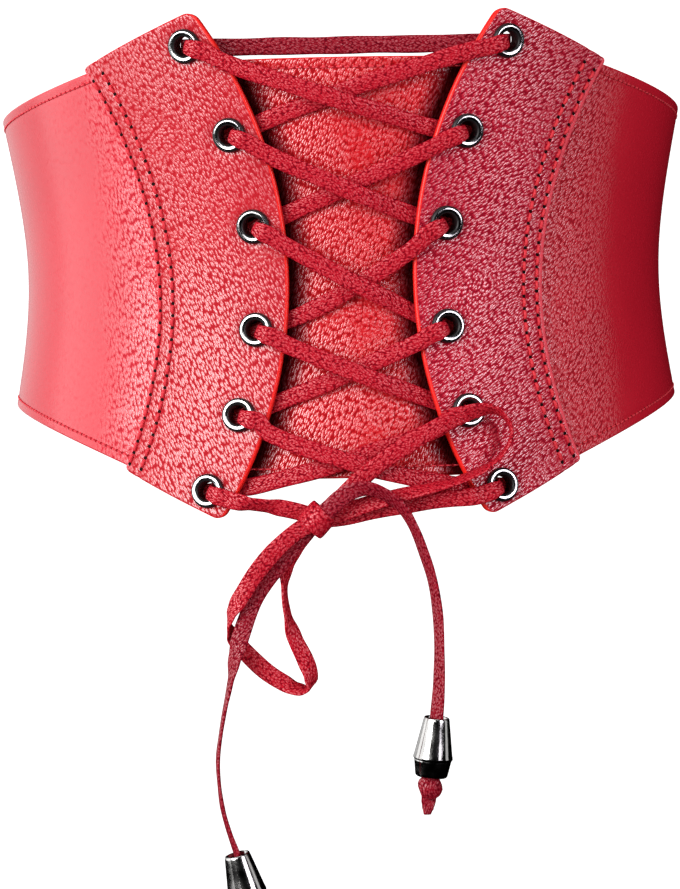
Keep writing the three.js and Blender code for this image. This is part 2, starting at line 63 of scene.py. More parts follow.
forward = (looks_at - camera_at).normalized()
right = forward.cross(Vector((0, 0, 1))).normalized()
up = right.cross(forward)
rolled_right = right * cos(roll) - up * sin(roll)
rolled_up = up * cos(roll) + right * sin(roll)

camera_data = bpy.data.cameras.new("camera")
camera_data.lens = 103.3
camera_data.sensor_width = 36.0
camera_data.clip_start = 0.01
camera = bpy.data.objects.new("camera", camera_data)
axes = Matrix((rolled_right, rolled_up, -forward)).transposed()
camera.matrix_world = Matrix.Translation(camera_at) @ axes.to_4x4()
bpy.context.scene.collection.objects.link(camera)
bpy.context.scene.camera = camera
print("camera stands", round((looks_at - camera_at).length, 3), "m from the lacing")

# %% [markdown]
# ## The shape of the waist
# The belt is a band that is nearly round at the waist and opens above and below it. Any
# place on it is given by three lengths: the arc round the waist from the front centre, the
# height above the waist, and the lift off the side panels' outer face. One function turns
# these into a point, so every panel, eyelet and stitch follows the same curve.

# %% The waist's curve
waist_radius = 105 * mm
flare_slope = 0.233
flare_reach = 30 * mm
front_flare_share = 0.6


def belt_points(arc, height, lift):
    """Points on the belt, from arrays of arc, height and lift."""
    angle = np.asarray(arc) / waist_radius
    flare = flare_slope * (np.hypot(height, flare_reach) - flare_reach)
    share = front_flare_share + (1 - front_flare_share) * np.sin(angle) ** 2
    radius = waist_radius + lift + share * flare
    return np.stack(
        [radius * np.sin(angle), -radius * np.cos(angle), np.asarray(height) + 0 * angle], -1
    )


def belt_point(arc, height, lift):
    return belt_points(np.float64(arc), np.float64(height), np.float64(lift))


def unit(vector):
    return vector / norm(vector)


def belt_normal(arc, height):
    step = 0.5 * mm
    along = belt_point(arc + step, height, 0) - belt_point(arc - step, height, 0)
    upward = belt_point(arc, height + step, 0) - belt_point(arc, height - step, 0)
    return unit(np.cross(along, upward))


print("waist is", round(2 * pi * waist_radius, 3), "m round outside")

# %% [markdown]
# ## The layers and the cut of the panels
# A belt like this is a stack: the tongue lies innermost, then the laces that run behind,
# then the side panels, the front panels, the eyelets and the laces on top. Giving each
# layer a lift keeps them from touching.

# %% Layers, panel edges and eyelet rows
side_thickness = 2 * mm
front_thickness = 2 * mm
tongue_thickness = 2 * mm
elastic_thickness = 1.6 * mm
clearance = 0.3 * mm
layer_clearance = 0.45 * mm
lace_width = 5.2 * mm
lace_thickness = 1.2 * mm
squeezed_width = 4.0 * mm
lace_end_reach = 3.4 * mm
eyelet_bore = 2.85 * mm
eyelet_wall = 0.4 * mm
eyelet_rim_radius = 5 * mm
eyelet_rim_height = 1.6 * mm
eyelet_foot_height = 0.7 * mm
eyelet_inset = 8.9 * mm

front_back_lift = layer_clearance
front_face_lift = front_back_lift + front_thickness
eyelet_foot_lift = front_back_lift - layer_clearance - eyelet_foot_height
under_lace_lift = eyelet_foot_lift - layer_clearance - lace_thickness / 2
tongue_face_lift = under_lace_lift - lace_thickness / 2 - 0.5 * mm
rim_lace_lift = front_face_lift + eyelet_rim_height + layer_clearance + lace_thickness / 2
over_panel_lift = front_face_lift + clearance + lace_thickness

lacing_gap = 36.4 * mm
inner_edge_radius = 142 * mm
inner_edge_level = -1 * mm
panel_waist_width = 41.7 * mm
outer_edge_radius = 137 * mm
outer_edge_level = -8 * mm
inner_top = 78 * mm
inner_bottom = -72 * mm
outer_top = 63.4 * mm
outer_bottom = -57.3 * mm

# height as a share of the panel's height above or below the waist, then the sway of the
# left and of the right lace that leaves that pair of eyelets
eyelet_rows = [
    (0.868, -2.7 * mm, 1.2 * mm),
    (0.533, -2.2 * mm, -0.8 * mm),
    (0.189, -1.3 * mm, -3.6 * mm),
    (-0.217, -1.2 * mm, -1.3 * mm),
    (-0.565, -4.8 * mm, -3.4 * mm),
    (-0.875, 0.0, 0.0),
]


def inner_edge_arc(height):
    offset = height - inner_edge_level
    return lacing_gap / 2 + inner_edge_radius - np.sqrt(inner_edge_radius**2 - offset**2)


def outer_edge_arc(height):
    offset = height - outer_edge_level
    bow = outer_edge_radius - np.sqrt(outer_edge_radius**2 - offset**2)
    return lacing_gap / 2 + panel_waist_width + bow


def eyelet_place(side, row):
    share = eyelet_rows[row][0]
    height = share * inner_top if share > 0 else -share * inner_bottom
    return np.array([side * (inner_edge_arc(height) + eyelet_inset), height])


print("laces lie", round((rim_lace_lift - tongue_face_lift) / mm, 1), "mm above the tongue")

# %% [markdown]
# ## A flat lace
# The lace is a flat waxed braid, about five millimetres wide. A round tube would look like
# string, so we sweep a flattened section along a smooth line and say, at each chosen place,
# which way its flat face looks. Between the places the line is a centripetal spline, which
# never overshoots. A second set of coordinates runs along and across the lace, for its weave.

# %% A smooth line through chosen places
def smooth_line(points, per_span):
    """A centripetal spline through the points: places and, for each, its span and share."""
    points = np.asarray(points, float)
    first = 2 * points[0] - points[1]
    last = 2 * points[-1] - points[-2]
    padded = np.vstack([first, points, last])
    places, spans = [], []
    for span in range(len(points) - 1):
        p0, p1, p2, p3 = padded[span : span + 4]
        d0, d1, d2 = (max(norm(b - a), 1e-6) ** 0.5 for a, b in ((p0, p1), (p1, p2), (p2, p3)))
        t1 = ((p1 - p0) / d0 - (p2 - p0) / (d0 + d1) + (p2 - p1) / d1) * d1
        t2 = ((p2 - p1) / d1 - (p3 - p1) / (d1 + d2) + (p3 - p2) / d2) * d1
        count = max(2, int(per_span * norm(p2 - p1)))
        for s in np.arange(count) / count:
            places.append(
                (2 * s**3 - 3 * s**2 + 1) * p1
                + (s**3 - 2 * s**2 + s) * t1
                + (3 * s**2 - 2 * s**3) * p2
                + (s**3 - s**2) * t2
            )
            spans.append(span + s)
    places.append(points[-1])
    spans.append(len(points) - 1)
    return np.array(places), np.array(spans)


def line_length(line):
    return float(norm(np.diff(line, axis=0), axis=1).sum())


# %% Make a mesh object from points and faces
def piece(name, points, faces, uvs=None):
    """A mesh object in the scene that rides with the belt."""
    mesh = bpy.data.meshes.new(name)
    mesh.from_pydata([tuple(p) for p in points], [], [tuple(f) for f in faces])
    if uvs is not None:
        layer = mesh.uv_layers.new(name="lay")
        corners = np.empty(len(mesh.loops), int)
        mesh.loops.foreach_get("vertex_index", corners)
        layer.data.foreach_set("uv", np.asarray(uvs, float)[corners].ravel())
    mesh.polygons.foreach_set("use_smooth", [True] * len(mesh.polygons))
    mesh.update()
    made = bpy.data.objects.new(name, mesh)
    bpy.context.scene.collection.objects.link(made)
    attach(made, "root")
    return made


def tube_faces(rings, corners, first=0):
    """The sides of a tube of rings, then its two ends."""
    faces = []
    for a in range(first, first + (rings - 1) * corners):
        b = a + 1 if (a - first + 1) % corners else a + 1 - corners
        faces.append((a, b, b + corners, a + corners))
    last = first + (rings - 1) * corners
    faces.append(tuple(first + k for k in reversed(range(corners))))
    faces.append(tuple(last + k for k in range(corners)))
    return faces


def outward(made):
    """Turns every face of a closed piece outward."""
    shell = bmesh.new()
    shell.from_mesh(made.data)
    bmesh.ops.recalc_face_normals(shell, faces=shell.faces)
    shell.to_mesh(made.data)
    shell.free()
    return made


# %% Sweep the lace
section_count = 16
section_angles = np.arange(section_count) / section_count * 2 * pi
section_across = np.sign(np.cos(section_angles)) * np.abs(np.cos(section_angles)) ** 0.7
section_out = np.sign(np.sin(section_angles)) * np.abs(np.sin(section_angles)) ** 0.8


def sweep_lace(name, rows, seed, rings_per_mm=1.4):
    """A flat lace through rows of (place, face direction, width)."""
    line, spans = smooth_line([row[0] for row in rows], rings_per_mm / mm)
    faces_dir = np.array([row[1] for row in rows])
    widths = np.array([row[2] for row in rows])
    tangents = np.gradient(line, axis=0)
    tangents /= norm(tangents, axis=1)[:, None]
    index = np.minimum(spans.astype(int), len(rows) - 2)
    share = (spans - index)[:, None]
    share = share * share * (3 - 2 * share)
    face = faces_dir[index] * (1 - share) + faces_dir[index + 1] * share
    face -= (face * tangents).sum(1)[:, None] * tangents
    face /= norm(face, axis=1)[:, None]
    across = np.cross(tangents, face)
    width = widths[index] * (1 - share[:, 0]) + widths[index + 1] * share[:, 0]
    along = np.concatenate([[0], np.cumsum(norm(np.diff(line, axis=0), axis=1))])
    wander = np.random.default_rng(seed).uniform(0, 6.28, 4)
    width = width * (1 + 0.03 * np.sin(along / (3.1 * mm) + wander[0]))
    sway = 0.05 * mm * np.sin(along / (4.3 * mm) + wander[1])
    thick = lace_thickness * (1 + 0.06 * np.sin(along / (2.3 * mm) + wander[2]))
    sideways = section_across[:, None] * width[:, None, None] / 2 + sway[:, None, None]
    outward_by = section_out[:, None] * thick[:, None, None] / 2
    points = line[:, None] + across[:, None] * sideways + face[:, None] * outward_by
    lay_along = np.repeat(along[:, None], section_count, 1)
    lay_across = np.tile(section_across * lace_width / 2, (len(line), 1))
    uvs = np.stack([lay_along, lay_across], -1).reshape(-1, 2)
    faces = tube_faces(len(line), section_count)
    made = piece(name, points.reshape(-1, 3), faces, uvs)
    return outward(made), line


# %% [markdown]
# ## The bow, its two loops and its two ends
# These stretches hang free, so their routes are given place by place, with the
# turn of the flat face in degrees: 0 looks at us and 90 is edge-on. Where the lace turns
# over, the number runs on, which is what makes a ribbon look like a ribbon.

# %% Routes of the free laces
toward_viewer = np.array([0.0, -1.0, 0.0])

free_routes = {
    "bow_loop_right": [
        (-11.6, -114, -71, 0), (-6.5, -114.3, -67, 0), (-1.4, -114.5, -62.2, 0),
        (4.8, -114.4, -57, 0), (11.4, -114, -52.4, 0), (21.1, -113, -46.6, 0),
        (29.5, -112, -42.6, 10), (36, -110.6, -40.5, 30), (41, -109.2, -40.4, 60),
        (44.9, -108.4, -43.2, 80), (46.5, -108, -47.2, 90), (45, -108.4, -51.6, 90),
        (41.8, -109.6, -55.2, 85), (36.5, -111.2, -58.4, 75), (29.6, -112.4, -60.9, 70),
        (21.7, -112.8, -62.9, 60), (12.9, -112.8, -64.8, 45), (2, -112.6, -67.6, 20),
        (-6.3, -112.2, -70.2, 0), (-11.6, -112.1, -71.4, 0),
    ],
    "bow_loop_left": [
        (-11.6, -115.6, -71.5, 0), (-17, -116.6, -74, 0), (-23.4, -117.8, -79, 0),
        (-29.5, -118, -86, 0), (-34.2, -117.6, -93, 15), (-37.4, -116.2, -98.2, 60),
        (-38, -114.2, -102.2, 100), (-36.4, -112.6, -106.5, 150), (-32.1, -112.4, -111.7, 180),
        (-27.5, -112.8, -116, 180), (-23, -113.2, -119, 170), (-18.5, -113.5, -121.3, 130),
        (-15, -114, -121.2, 90), (-14.3, -114.4, -117.8, 40), (-16, -114.5, -112.4, 10),
        (-18.8, -114.5, -106, 30), (-20.8, -113.8, -99, 70), (-21.6, -112.2, -92, 75),
        (-20.8, -111.4, -85.5, 40), (-18.3, -111.8, -79.8, 10), (-15, -112.2, -75.5, 0),
        (-11.6, -112.2, -71.8, 0),
    ],
    "lace_tail_left": [
        (-11.6, -113.8, -71.6, 0), (-17, -114.2, -77, 0), (-22.3, -114.9, -83.4, 0),
        (-26.6, -114.9, -88.4, 0), (-30, -115, -93.6, 0), (-32.9, -116.2, -100, 0),
        (-34.9, -117.8, -105.5, 15), (-36.6, -117.8, -111.5, 45), (-38, -117, -118.5, 75),
        (-39.8, -116, -126.5, 85), (-41.2, -115.4, -134, 85), (-42.2, -115, -141.5, 85),
        (-42, -115, -149, 85), (-41.1, -115, -156.5, 80), (-39.4, -115, -163.2, 75),
        (-37.3, -115, -169.6, 70), (-36.3, -115, -173.6, 65),
    ],
    "lace_tail_right": [
        (-11.6, -115.7, -70.7, 0), (-8, -116.6, -68, 0), (-4.5, -117.2, -64.8, 0),
        (-0.8, -117.4, -62.7, 10), (3.2, -117.4, -62.2, 30), (8.1, -117.2, -63.9, 45),
        (12.8, -117, -67.6, 55), (16.5, -116.6, -73.7, 60), (19.6, -116, -81.9, 60),
        (21.8, -115.4, -89.5, 60), (23.2, -115, -99, 60), (23.6, -115, -109, 60),
        (23.3, -115, -120, 55), (22.5, -115, -129.5, 45), (22, -115, -134, 40),
    ],
}
lowest_route_left = [
    (-35, -110.4, -65.9, 0), (-30.8, -110.6, -66.6, 40), (-26.6, -110.6, -67.2, 40),
    (-21.6, -110.6, -68.1, 10), (-16.5, -110.6, -69.4, 0), (-11.6, -110.6, -71.1, 0),
]
lowest_route_right = [
    (34.6, -110.6, -65.8, 0), (28.6, -110.4, -66.3, 0), (20.9, -110.2, -67, 0),
    (13, -110.2, -68.1, 0), (4.1, -110.2, -69.6, 0), (-3.3, -110.3, -71, 0),
    (-11.6, -110.6, -71.8, 0),
]


def turned(direction, axis, degrees):
    """direction turned about axis."""
    angle = radians(degrees)
    axis = unit(axis)
    return (
        direction * cos(angle)
        + np.cross(axis, direction) * sin(angle)
        + axis * axis.dot(direction) * (1 - cos(angle))
    )


def free_rows(route):
    """Rows of a free stretch, from places in millimetres and turns in degrees."""
    places = np.array([row[:3] for row in route]) * mm
    tangents = np.gradient(places, axis=0)
    rows = []
    for place, tangent, row in zip(places, tangents, route):
        tangent = unit(tangent)
        face = unit(toward_viewer - tangent * tangent.dot(toward_viewer))
        rows.append((place, turned(face, tangent, row[3]), lace_width))
    return rows


# %% The lace comes up through an eyelet
def row_on_the_way(start, heading, distance, lift, sway=0.0, face=None, width=lace_width):
    """A place between two eyelets, given by its distance from the first."""
    arc, height = start + heading * distance
    if face is None:
        face = belt_normal(arc, height)
    return belt_point(arc, height + sway, lift), face, width


def eyelet_exit_rows(start, heading):
    """Up the bore, over the rim and down towards the panel."""
    ahead = start + heading * mm
    away = unit(belt_point(*start, 0) - belt_point(*ahead, 0))
    over = unit(away + belt_normal(*start))
    stops = [
        (0.5 * mm, eyelet_foot_lift, away),
        (0.5 * mm, front_face_lift, away),
        (1.2 * mm, rim_lace_lift - 0.7 * mm, over),
    ]
    return [
        row_on_the_way(start, heading, distance, lift, 0, face, squeezed_width)
        for distance, lift, face in stops
    ] + [
        row_on_the_way(start, heading, 3.8 * mm, rim_lace_lift),
        row_on_the_way(start, heading, eyelet_rim_radius + 1.6 * mm, rim_lace_lift - 0.6 * mm),
    ]


# %% Make the free laces
free_laces = {}
for seed, (name, route) in enumerate(free_routes.items(), 1):
    free_laces[name] = sweep_lace(f"{name}_braid", free_rows(route), seed)
    print(name, "is", round(line_length(free_laces[name][1]), 3), "m of lace")
lowest = len(eyelet_rows) - 1
lowest_laces = {}
for (name, side), route in zip(sides.items(), (lowest_route_left, lowest_route_right)):
    heading = unit(np.array([-side, -0.35]))
    rows = eyelet_exit_rows(eyelet_place(side, lowest), heading) + free_rows(route)
    lowest_laces[name] = sweep_lace(f"lace_{name}_6_braid", rows, 5 + side)

# %% [markdown]
# ## The crossing laces
# Between the panels the lace crosses five times. Each stretch comes out of an eyelet, lies
# over the edge of its own panel, passes over or under the other lace in the middle, and
# dives behind the other panel. The left one lies on top at every crossing.

# %% Make the crossings
# lifts before and after the middle, for the lace on top and the one below
top_lace_lifts = (2.6 * mm, 1.7 * mm)
low_lace_lifts = (-0.1 * mm, -1.2 * mm)
crossing_reach = 7 * mm


def distance_to_edge(start, heading):
    distance = eyelet_inset
    for _ in range(6):
        height = start[1] + heading[1] * distance
        distance = (abs(start[0]) - inner_edge_arc(height)) / abs(heading[0])
    return distance


def crossing_rows(side, row):
    start = eyelet_place(side, row)
    end = eyelet_place(-side, row + 1)
    length = norm(end - start)
    heading = (end - start) / length
    over = side < 0
    sway = eyelet_rows[row][1 if over else 2]
    near_edge = distance_to_edge(start, heading)
    far_edge = length - distance_to_edge(end, -heading)
    middle = (near_edge + far_edge) / 2
    before_lift, after_lift = top_lace_lifts if over else low_lace_lifts
    stops = [
        (near_edge, over_panel_lift, 0.45),
        (middle - crossing_reach, before_lift, 0.95),
        (middle + crossing_reach, after_lift, 1.0),
        (far_edge - 1.5 * mm, under_lace_lift + clearance, 0.7),
        (far_edge + 3 * mm, under_lace_lift, 0.45),
        (length + lace_end_reach, under_lace_lift, 0.0),
    ]
    return eyelet_exit_rows(start, heading) + [
        row_on_the_way(start, heading, distance, lift, sway * share)
        for distance, lift, share in stops
    ]


crossings = []
for row in range(lowest):
    for name, side in sides.items():
        strand, _ = sweep_lace(
            f"lace_{name}_{row + 1}_braid", crossing_rows(side, row), 10 + 2 * row + side
        )
        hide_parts(f"lace_{name}_{row + 1}")
        crossings.append(strand)

bar_arc, bar_height = eyelet_place(1, 0)
bar_end = belt_point(bar_arc + lace_end_reach, bar_height, under_lace_lift - clearance)
lace_bar, _ = sweep_lace(
    "lace_bar_braid",
    [
        (np.array([share * bar_end[0], bar_end[1], bar_end[2]]), toward_viewer, lace_width)
        for share in (-1, 0, 1)
    ],
    40,
)
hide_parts("lace_bar")
print("crossings made:", len(crossings))

# %% [markdown]
# ## Leather walls
# Each panel starts as a flat pattern, like the paper one a leather worker cuts. Two shares,
# across and up, pick a place on it. We lay a fine grid over the pattern, bend it round the
# waist, and give it an outer and an inner face. The grid lines crowd near the edges, where
# the leather is rounded over, and the outer face may be pressed in, as along a seam.

# %% Patterns with rounded corners
def rounded(place, corner, one_way, other_way, radius):
    """Bends the corner of a pattern into an arc."""
    offset = place - corner
    spread = one_way[0] * other_way[1] - one_way[1] * other_way[0]
    one = (offset[0] * other_way[1] - offset[1] * other_way[0]) / spread
    other = (one_way[0] * offset[1] - one_way[1] * offset[0]) / spread
    if one >= radius or other >= radius:
        return place
    p = 1 - one / radius
    q = 1 - other / radius
    return (
        corner
        + one_way * radius * (1 - p * sqrt(1 - q * q / 2))
        + other_way * radius * (1 - q * sqrt(1 - p * p / 2))
    )


def rounded_pattern(pattern, radii):
    """radii are those of the corners at shares (0, 0), (1, 0), (0, 1) and (1, 1)."""
    corners = []
    for index, radius in enumerate(radii):
        u, v = index % 2, index // 2
        corner = pattern(u, v)
        one_way = unit(pattern(u + (0.05 if u == 0 else -0.05), v) - corner)
        other_way = unit(pattern(u, v + (0.05 if v == 0 else -0.05)) - corner)
        corners.append((u, v, corner, one_way, other_way, radius))

    def cut(across, up_share):
        place = pattern(across, up_share)
        for u, v, corner, one_way, other_way, radius in corners:
            if radius and abs(across - u) < 0.3 and abs(up_share - v) < 0.3:
                place = rounded(place, corner, one_way, other_way, radius)
        return place

    return cut


def edge_shares(length, step, fine=(0, 0.12, 0.3, 0.55, 0.9, 1.4, 2.0)):
    """Shares of a length whose steps are fine at both ends."""
    close = np.array(fine) * mm / length
    count = int((length - 2 * fine[-1] * mm) / step)
    middle = np.linspace(close[-1], 1 - close[-1], count + 1)[1:-1]
    return np.concatenate([close, middle, 1 - close[::-1]])


# %% Bend a pattern round the waist
painted_rim = 0.3 * mm
painted_edge = 1.15 * mm
round_over = 0.8 * mm


def dip(distance, width):
    """1 at no distance, and softly down to 0 beyond the width."""
    return np.exp(-((distance / width) ** 2))


def line_distance(places, line):
    """Distance from each place to a line of points."""
    best = np.full(places.shape[:-1], 1e9)
    for a, b in zip(line[:-1], line[1:]):
        way = b - a
        share = np.clip(((places - a) @ way) / max(way.dot(way), 1e-18), 0, 1)
        best = np.minimum(best, norm(places - a - share[..., None] * way, axis=-1))
    return best


def belt_wall(
    name, side, pattern, lifts, across, up_shares, dent=None, holes=(), paint_and_highlight_shares=(0, 1)
):
    """A leather wall; its faces take finish 0, its painted rim 1, and an outer band 2, which carries
    a painted highlight.
    """
    inner_lift, outer_lift = lifts
    places = np.array([[pattern(a, u) for a in across] for u in up_shares])
    rows, columns = places.shape[:2]
    rim = np.concatenate([places[0], places[1:, -1], places[-1, -2::-1], places[-2::-1, 0]])
    from_rim = line_distance(places, rim)
    inside = np.minimum(from_rim, round_over)
    fall = round_over - np.sqrt(np.maximum(round_over**2 - (round_over - inside) ** 2, 0))
    kept = np.ones((rows - 1, columns - 1), bool)
    middles = (places[1:, 1:] + places[:-1, :-1] + places[1:, :-1] + places[:-1, 1:]) / 4
    for centre, radius in holes:
        kept &= norm(middles - centre, axis=-1) > radius
    touching = np.zeros((rows, columns, 2), bool)
    for dy in (0, 1):
        for dx in (0, 1):
            block = touching[dy : rows - 1 + dy, dx : columns - 1 + dx]
            block[..., 0] |= kept
            block[..., 1] |= ~kept
    shared = touching.all(-1)
    for centre, radius in holes:
        offset = places - centre
        size = norm(offset, axis=-1)
        near = shared & (size < radius * 2)
        places[near] = centre + offset[near] / size[near][:, None] * radius
    outer = outer_lift - fall
    if dent is not None:
        outer = outer + dent(places)
    inner = inner_lift + 0.4 * fall
    arc = side * places[..., 0]
    faces_out = belt_points(arc, places[..., 1], outer).reshape(-1, 3)
    faces_in = belt_points(arc, places[..., 1], inner).reshape(-1, 3)
    index = np.arange(rows * columns).reshape(rows, columns)
    total = rows * columns
    middle_from_rim = (from_rim[1:, 1:] + from_rim[:-1, :-1]) / 2
    outer_faces, inner_faces, painted, edge_count = [], [], [], {}
    for r, c in zip(*np.nonzero(kept)):
        # the outer band is edge paint made paler pink, as a painted highlight along the outer edge
        in_paint = middle_from_rim[r, c] < painted_rim or across[c + 1] <= paint_and_highlight_shares[0]
        in_highlight_band = across[c] >= paint_and_highlight_shares[1]
        painted.append(2 if in_highlight_band else int(in_paint))
        quad = [index[r, c], index[r, c + 1], index[r + 1, c + 1], index[r + 1, c]]
        outer_faces.append(tuple(quad))
        inner_faces.append(tuple(total + q for q in reversed(quad)))
        for a, b in zip(quad, quad[1:] + quad[:1]):
            edge_count[(a, b)] = edge_count.get((a, b), 0) + 1
    rim_faces = [(b, a, total + a, total + b) for (a, b) in edge_count if (b, a) not in edge_count]
    flat = np.stack([arc, places[..., 1]], -1).reshape(-1, 2)
    made = piece(
        name,
        np.vstack([faces_out, faces_in]),
        outer_faces + inner_faces + rim_faces,
        np.vstack([flat, flat]),
    )
    for _ in range(3 if paint_and_highlight_shares[1] < 1 else 2):
        made.data.materials.append(None)
    material_index = painted + [0] * len(inner_faces) + [1] * len(rim_faces)
    made.data.polygons.foreach_set("material_index", material_index)
    shell = bmesh.new()
    shell.from_mesh(made.data)
    loose = [v for v in shell.verts if not v.link_faces]
    bmesh.ops.delete(shell, geom=loose, context="VERTS")
    bmesh.ops.recalc_face_normals(shell, faces=shell.faces)
    shell.to_mesh(made.data)
    shell.free()
    return made


# %% [markdown]
# ## The front panels
# Both long edges bow towards the middle, and two rows of stitches follow the outer one.
# A band of edge paint runs along the inner edge, and a paler pink band along the outer edge
# is edge paint with a painted highlight on it.
# Thread pulls leather in, so the face dips along each row, and it dips again round every
# eyelet, where the metal squeezes it.

# %% Cut and bend the front panels
stitch_rows = {"left": (1.2 * mm, 5.6 * mm), "right": (2.4 * mm, 7.0 * mm)}
edge_highlight_bands = {"left": 0.92 * mm, "right": 1.72 * mm}
front_seam_depth = 0.22 * mm
front_seam_width = 0.75 * mm
eyelet_dent_depth = 0.25 * mm
eyelet_dent_radius = 4.6 * mm
eyelet_dent_width = 1.5 * mm


def front_pattern(across, up_share):
    inner_height = inner_bottom + (inner_top - inner_bottom) * up_share
    outer_height = outer_bottom + (outer_top - outer_bottom) * up_share
    inner = np.array([inner_edge_arc(inner_height), inner_height])
    outer = np.array([outer_edge_arc(outer_height), outer_height])
    return inner + (outer - inner) * across


front_cut = rounded_pattern(front_pattern, (3 * mm, 1.6 * mm, 3 * mm, 1.6 * mm))
outer_edge_line = np.array([front_pattern(1, v) for v in np.linspace(0, 1, 60)])
eyelet_places = [eyelet_place(1, row) for row in range(len(eyelet_rows))]


def front_dent(places, rows):
    """How far the front panel's face is pressed in."""
    from_edge = line_distance(places, outer_edge_line)
    pressed = np.zeros(from_edge.shape)
    for inset in rows:
        pressed -= front_seam_depth * dip(from_edge - inset, front_seam_width)
    for centre in eyelet_places:
        away = norm(places - centre, axis=-1)
        pressed -= eyelet_dent_depth * dip(away - eyelet_dent_radius, eyelet_dent_width)
    return pressed


panel_width = 46 * mm
panel_height = inner_top - inner_bottom
from_outer = np.array([8.4, 7.8, 7.4, 7, 6.6, 6.2, 5.9, 5.6, 5.3, 5, 4.5, 3.9, 3.4, 2.9, 2.6])
near_outer = 1 - from_outer * mm / panel_width
front_across = edge_shares(panel_width, 1.0 * mm, (0, 0.12, 0.3, 0.55, 0.9, 1.3, 1.7, 2.1))
front_across = np.sort(
    np.concatenate([front_across[front_across < 1 - 8.8 * mm / panel_width],
                    near_outer,
                    front_across[front_across > 1 - 2.3 * mm / panel_width]])
)
front_up = edge_shares(panel_height, 1.0 * mm)
eyelet_holes = [(centre, eyelet_bore + eyelet_wall + clearance) for centre in eyelet_places]
front_panels = {}
for name, side in sides.items():
    made = belt_wall(
        f"front_panel_{name}_leather", side, front_cut,
        (front_back_lift, front_face_lift), front_across, front_up,
        lambda places: front_dent(places, stitch_rows[name]), eyelet_holes,
        (painted_edge / panel_width, 1 - edge_highlight_bands[name] / panel_width),
    )
    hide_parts(f"front_panel_{name}")
    front_panels[name] = made
print("front panel:", len(front_panels["left"].data.polygons), "faces")

# %% [markdown]
# ## The side panels and the tongue
# The side panels slip under the front ones and grow lower towards the back. The tongue is
# a plain rectangle behind the lacing. Both have one row of stitches near the top and the
# bottom edge.

# %% Cut and bend the side panels and the tongue
side_underlap = 10 * mm
side_end_arc = 172 * mm
side_top = 62.6 * mm
side_bottom = -56.8 * mm
side_end_top = 51.5 * mm
side_end_bottom = -41.2 * mm
side_top_taper = 1.8
side_bottom_taper = 2.2
side_stitch_inset = 3 * mm
side_seam_depth = 0.2 * mm
side_seam_width = 0.8 * mm
fine_near_seam = (0, 0.12, 0.3, 0.55, 0.9, 1.6, 2.3, 3.0, 3.7, 4.5)


def tapered_height(arc, start, end, taper):
    start_arc = outer_edge_arc(start)
    share = min(max((arc - start_arc) / (side_end_arc - start_arc), 0), 1)
    return end + (start - end) * (1 - share) ** taper


def side_pattern(across, up_share):
    start_height = side_bottom + (side_top - side_bottom) * up_share
    start_arc = outer_edge_arc(start_height) - side_underlap
    arc = start_arc + (side_end_arc - start_arc) * across
    top = tapered_height(arc, side_top, side_end_top, side_top_taper)
    bottom = tapered_height(arc, side_bottom, side_end_bottom, side_bottom_taper)
    return np.array([arc, bottom + (top - bottom) * up_share])


side_cut = rounded_pattern(side_pattern, (0, 4 * mm, 0, 4 * mm))
side_up = edge_shares(105 * mm, 1.6 * mm, fine_near_seam)


def side_dent(places):
    """The seam near the top and the bottom edge."""
    pressed = np.zeros(places.shape[:-1])
    for up_share in (0, 1):
        line = np.array([side_pattern(a, up_share) for a in np.linspace(0, 1, 40)])
        away = line_distance(places, line) - side_stitch_inset
        pressed -= side_seam_depth * dip(away, side_seam_width)
    return pressed


side_panels = {}
for name, side in sides.items():
    made = belt_wall(
        f"side_panel_{name}_leather", side, side_cut,
        (-side_thickness, 0.0), edge_shares(115 * mm, 1.6 * mm), side_up, side_dent,
    )
    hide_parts(f"side_panel_{name}")
    side_panels[name] = made

tongue_half_width = 37.6 * mm
tongue_top = 63.7 * mm
tongue_bottom = -60 * mm


def tongue_pattern(across, up_share):
    return np.array([
        tongue_half_width * (2 * across - 1),
        tongue_bottom + (tongue_top - tongue_bottom) * up_share,
    ])


def tongue_dent(places):
    from_top = np.abs(places[..., 1] - (tongue_top - side_stitch_inset))
    from_bottom = np.abs(places[..., 1] - (tongue_bottom + side_stitch_inset))
    return -side_seam_depth * (dip(from_top, side_seam_width) + dip(from_bottom, side_seam_width))


tongue = belt_wall(
    "tongue_leather", 1,
    rounded_pattern(tongue_pattern, (3 * mm,) * 4),
    (tongue_face_lift - tongue_thickness, tongue_face_lift),
    edge_shares(2 * tongue_half_width, 1.5 * mm),
    edge_shares(tongue_top - tongue_bottom, 1.5 * mm, fine_near_seam), tongue_dent,
)
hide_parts("tongue")
print("side panels and tongue:", len(side_panels["left"].data.polygons),
      len(tongue.data.polygons), "faces")

# %% [markdown]
# ## The elastic back and its clasp
# Behind the side panels the belt is elastic, and a plain strip covers where it fastens.

# %% Bend the elastic and the clasp
elastic_underlap = 9 * mm
elastic_inset = 2 * mm
clasp_width = 16 * mm
clasp_slot = 3 * mm
clasp_thickness = 1.6 * mm
rib_depth = 0.12 * mm
rib_pitch = 2.4 * mm
back_arc = pi * waist_radius
elastic_top = side_end_top - elastic_inset
elastic_bottom = side_end_bottom + elastic_inset


def elastic_pattern(across, up_share):
    start = side_end_arc - elastic_underlap
    return np.array([
        start + (back_arc - clasp_slot - start) * across,
        elastic_bottom + (elastic_top - elastic_bottom) * up_share,
    ])


def elastic_ribs(places):
    """Fine ribs run up the elastic."""
    return rib_depth * np.cos(places[..., 0] / rib_pitch * 2 * pi)


elastics = {}
for name, side in sides.items():
    elastics[name] = belt_wall(
        f"elastic_{name}_webbing", side, elastic_pattern,
        (-side_thickness - layer_clearance - elastic_thickness,
         -side_thickness - layer_clearance),
        edge_shares(155 * mm, 0.6 * mm), edge_shares(88 * mm, 3 * mm), elastic_ribs,
    )
    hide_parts(f"elastic_{name}")


def clasp_pattern(across, up_share):
    return np.array([
        back_arc + clasp_width * (across - 0.5),
        side_end_bottom + (side_end_top - side_end_bottom) * up_share,
    ])


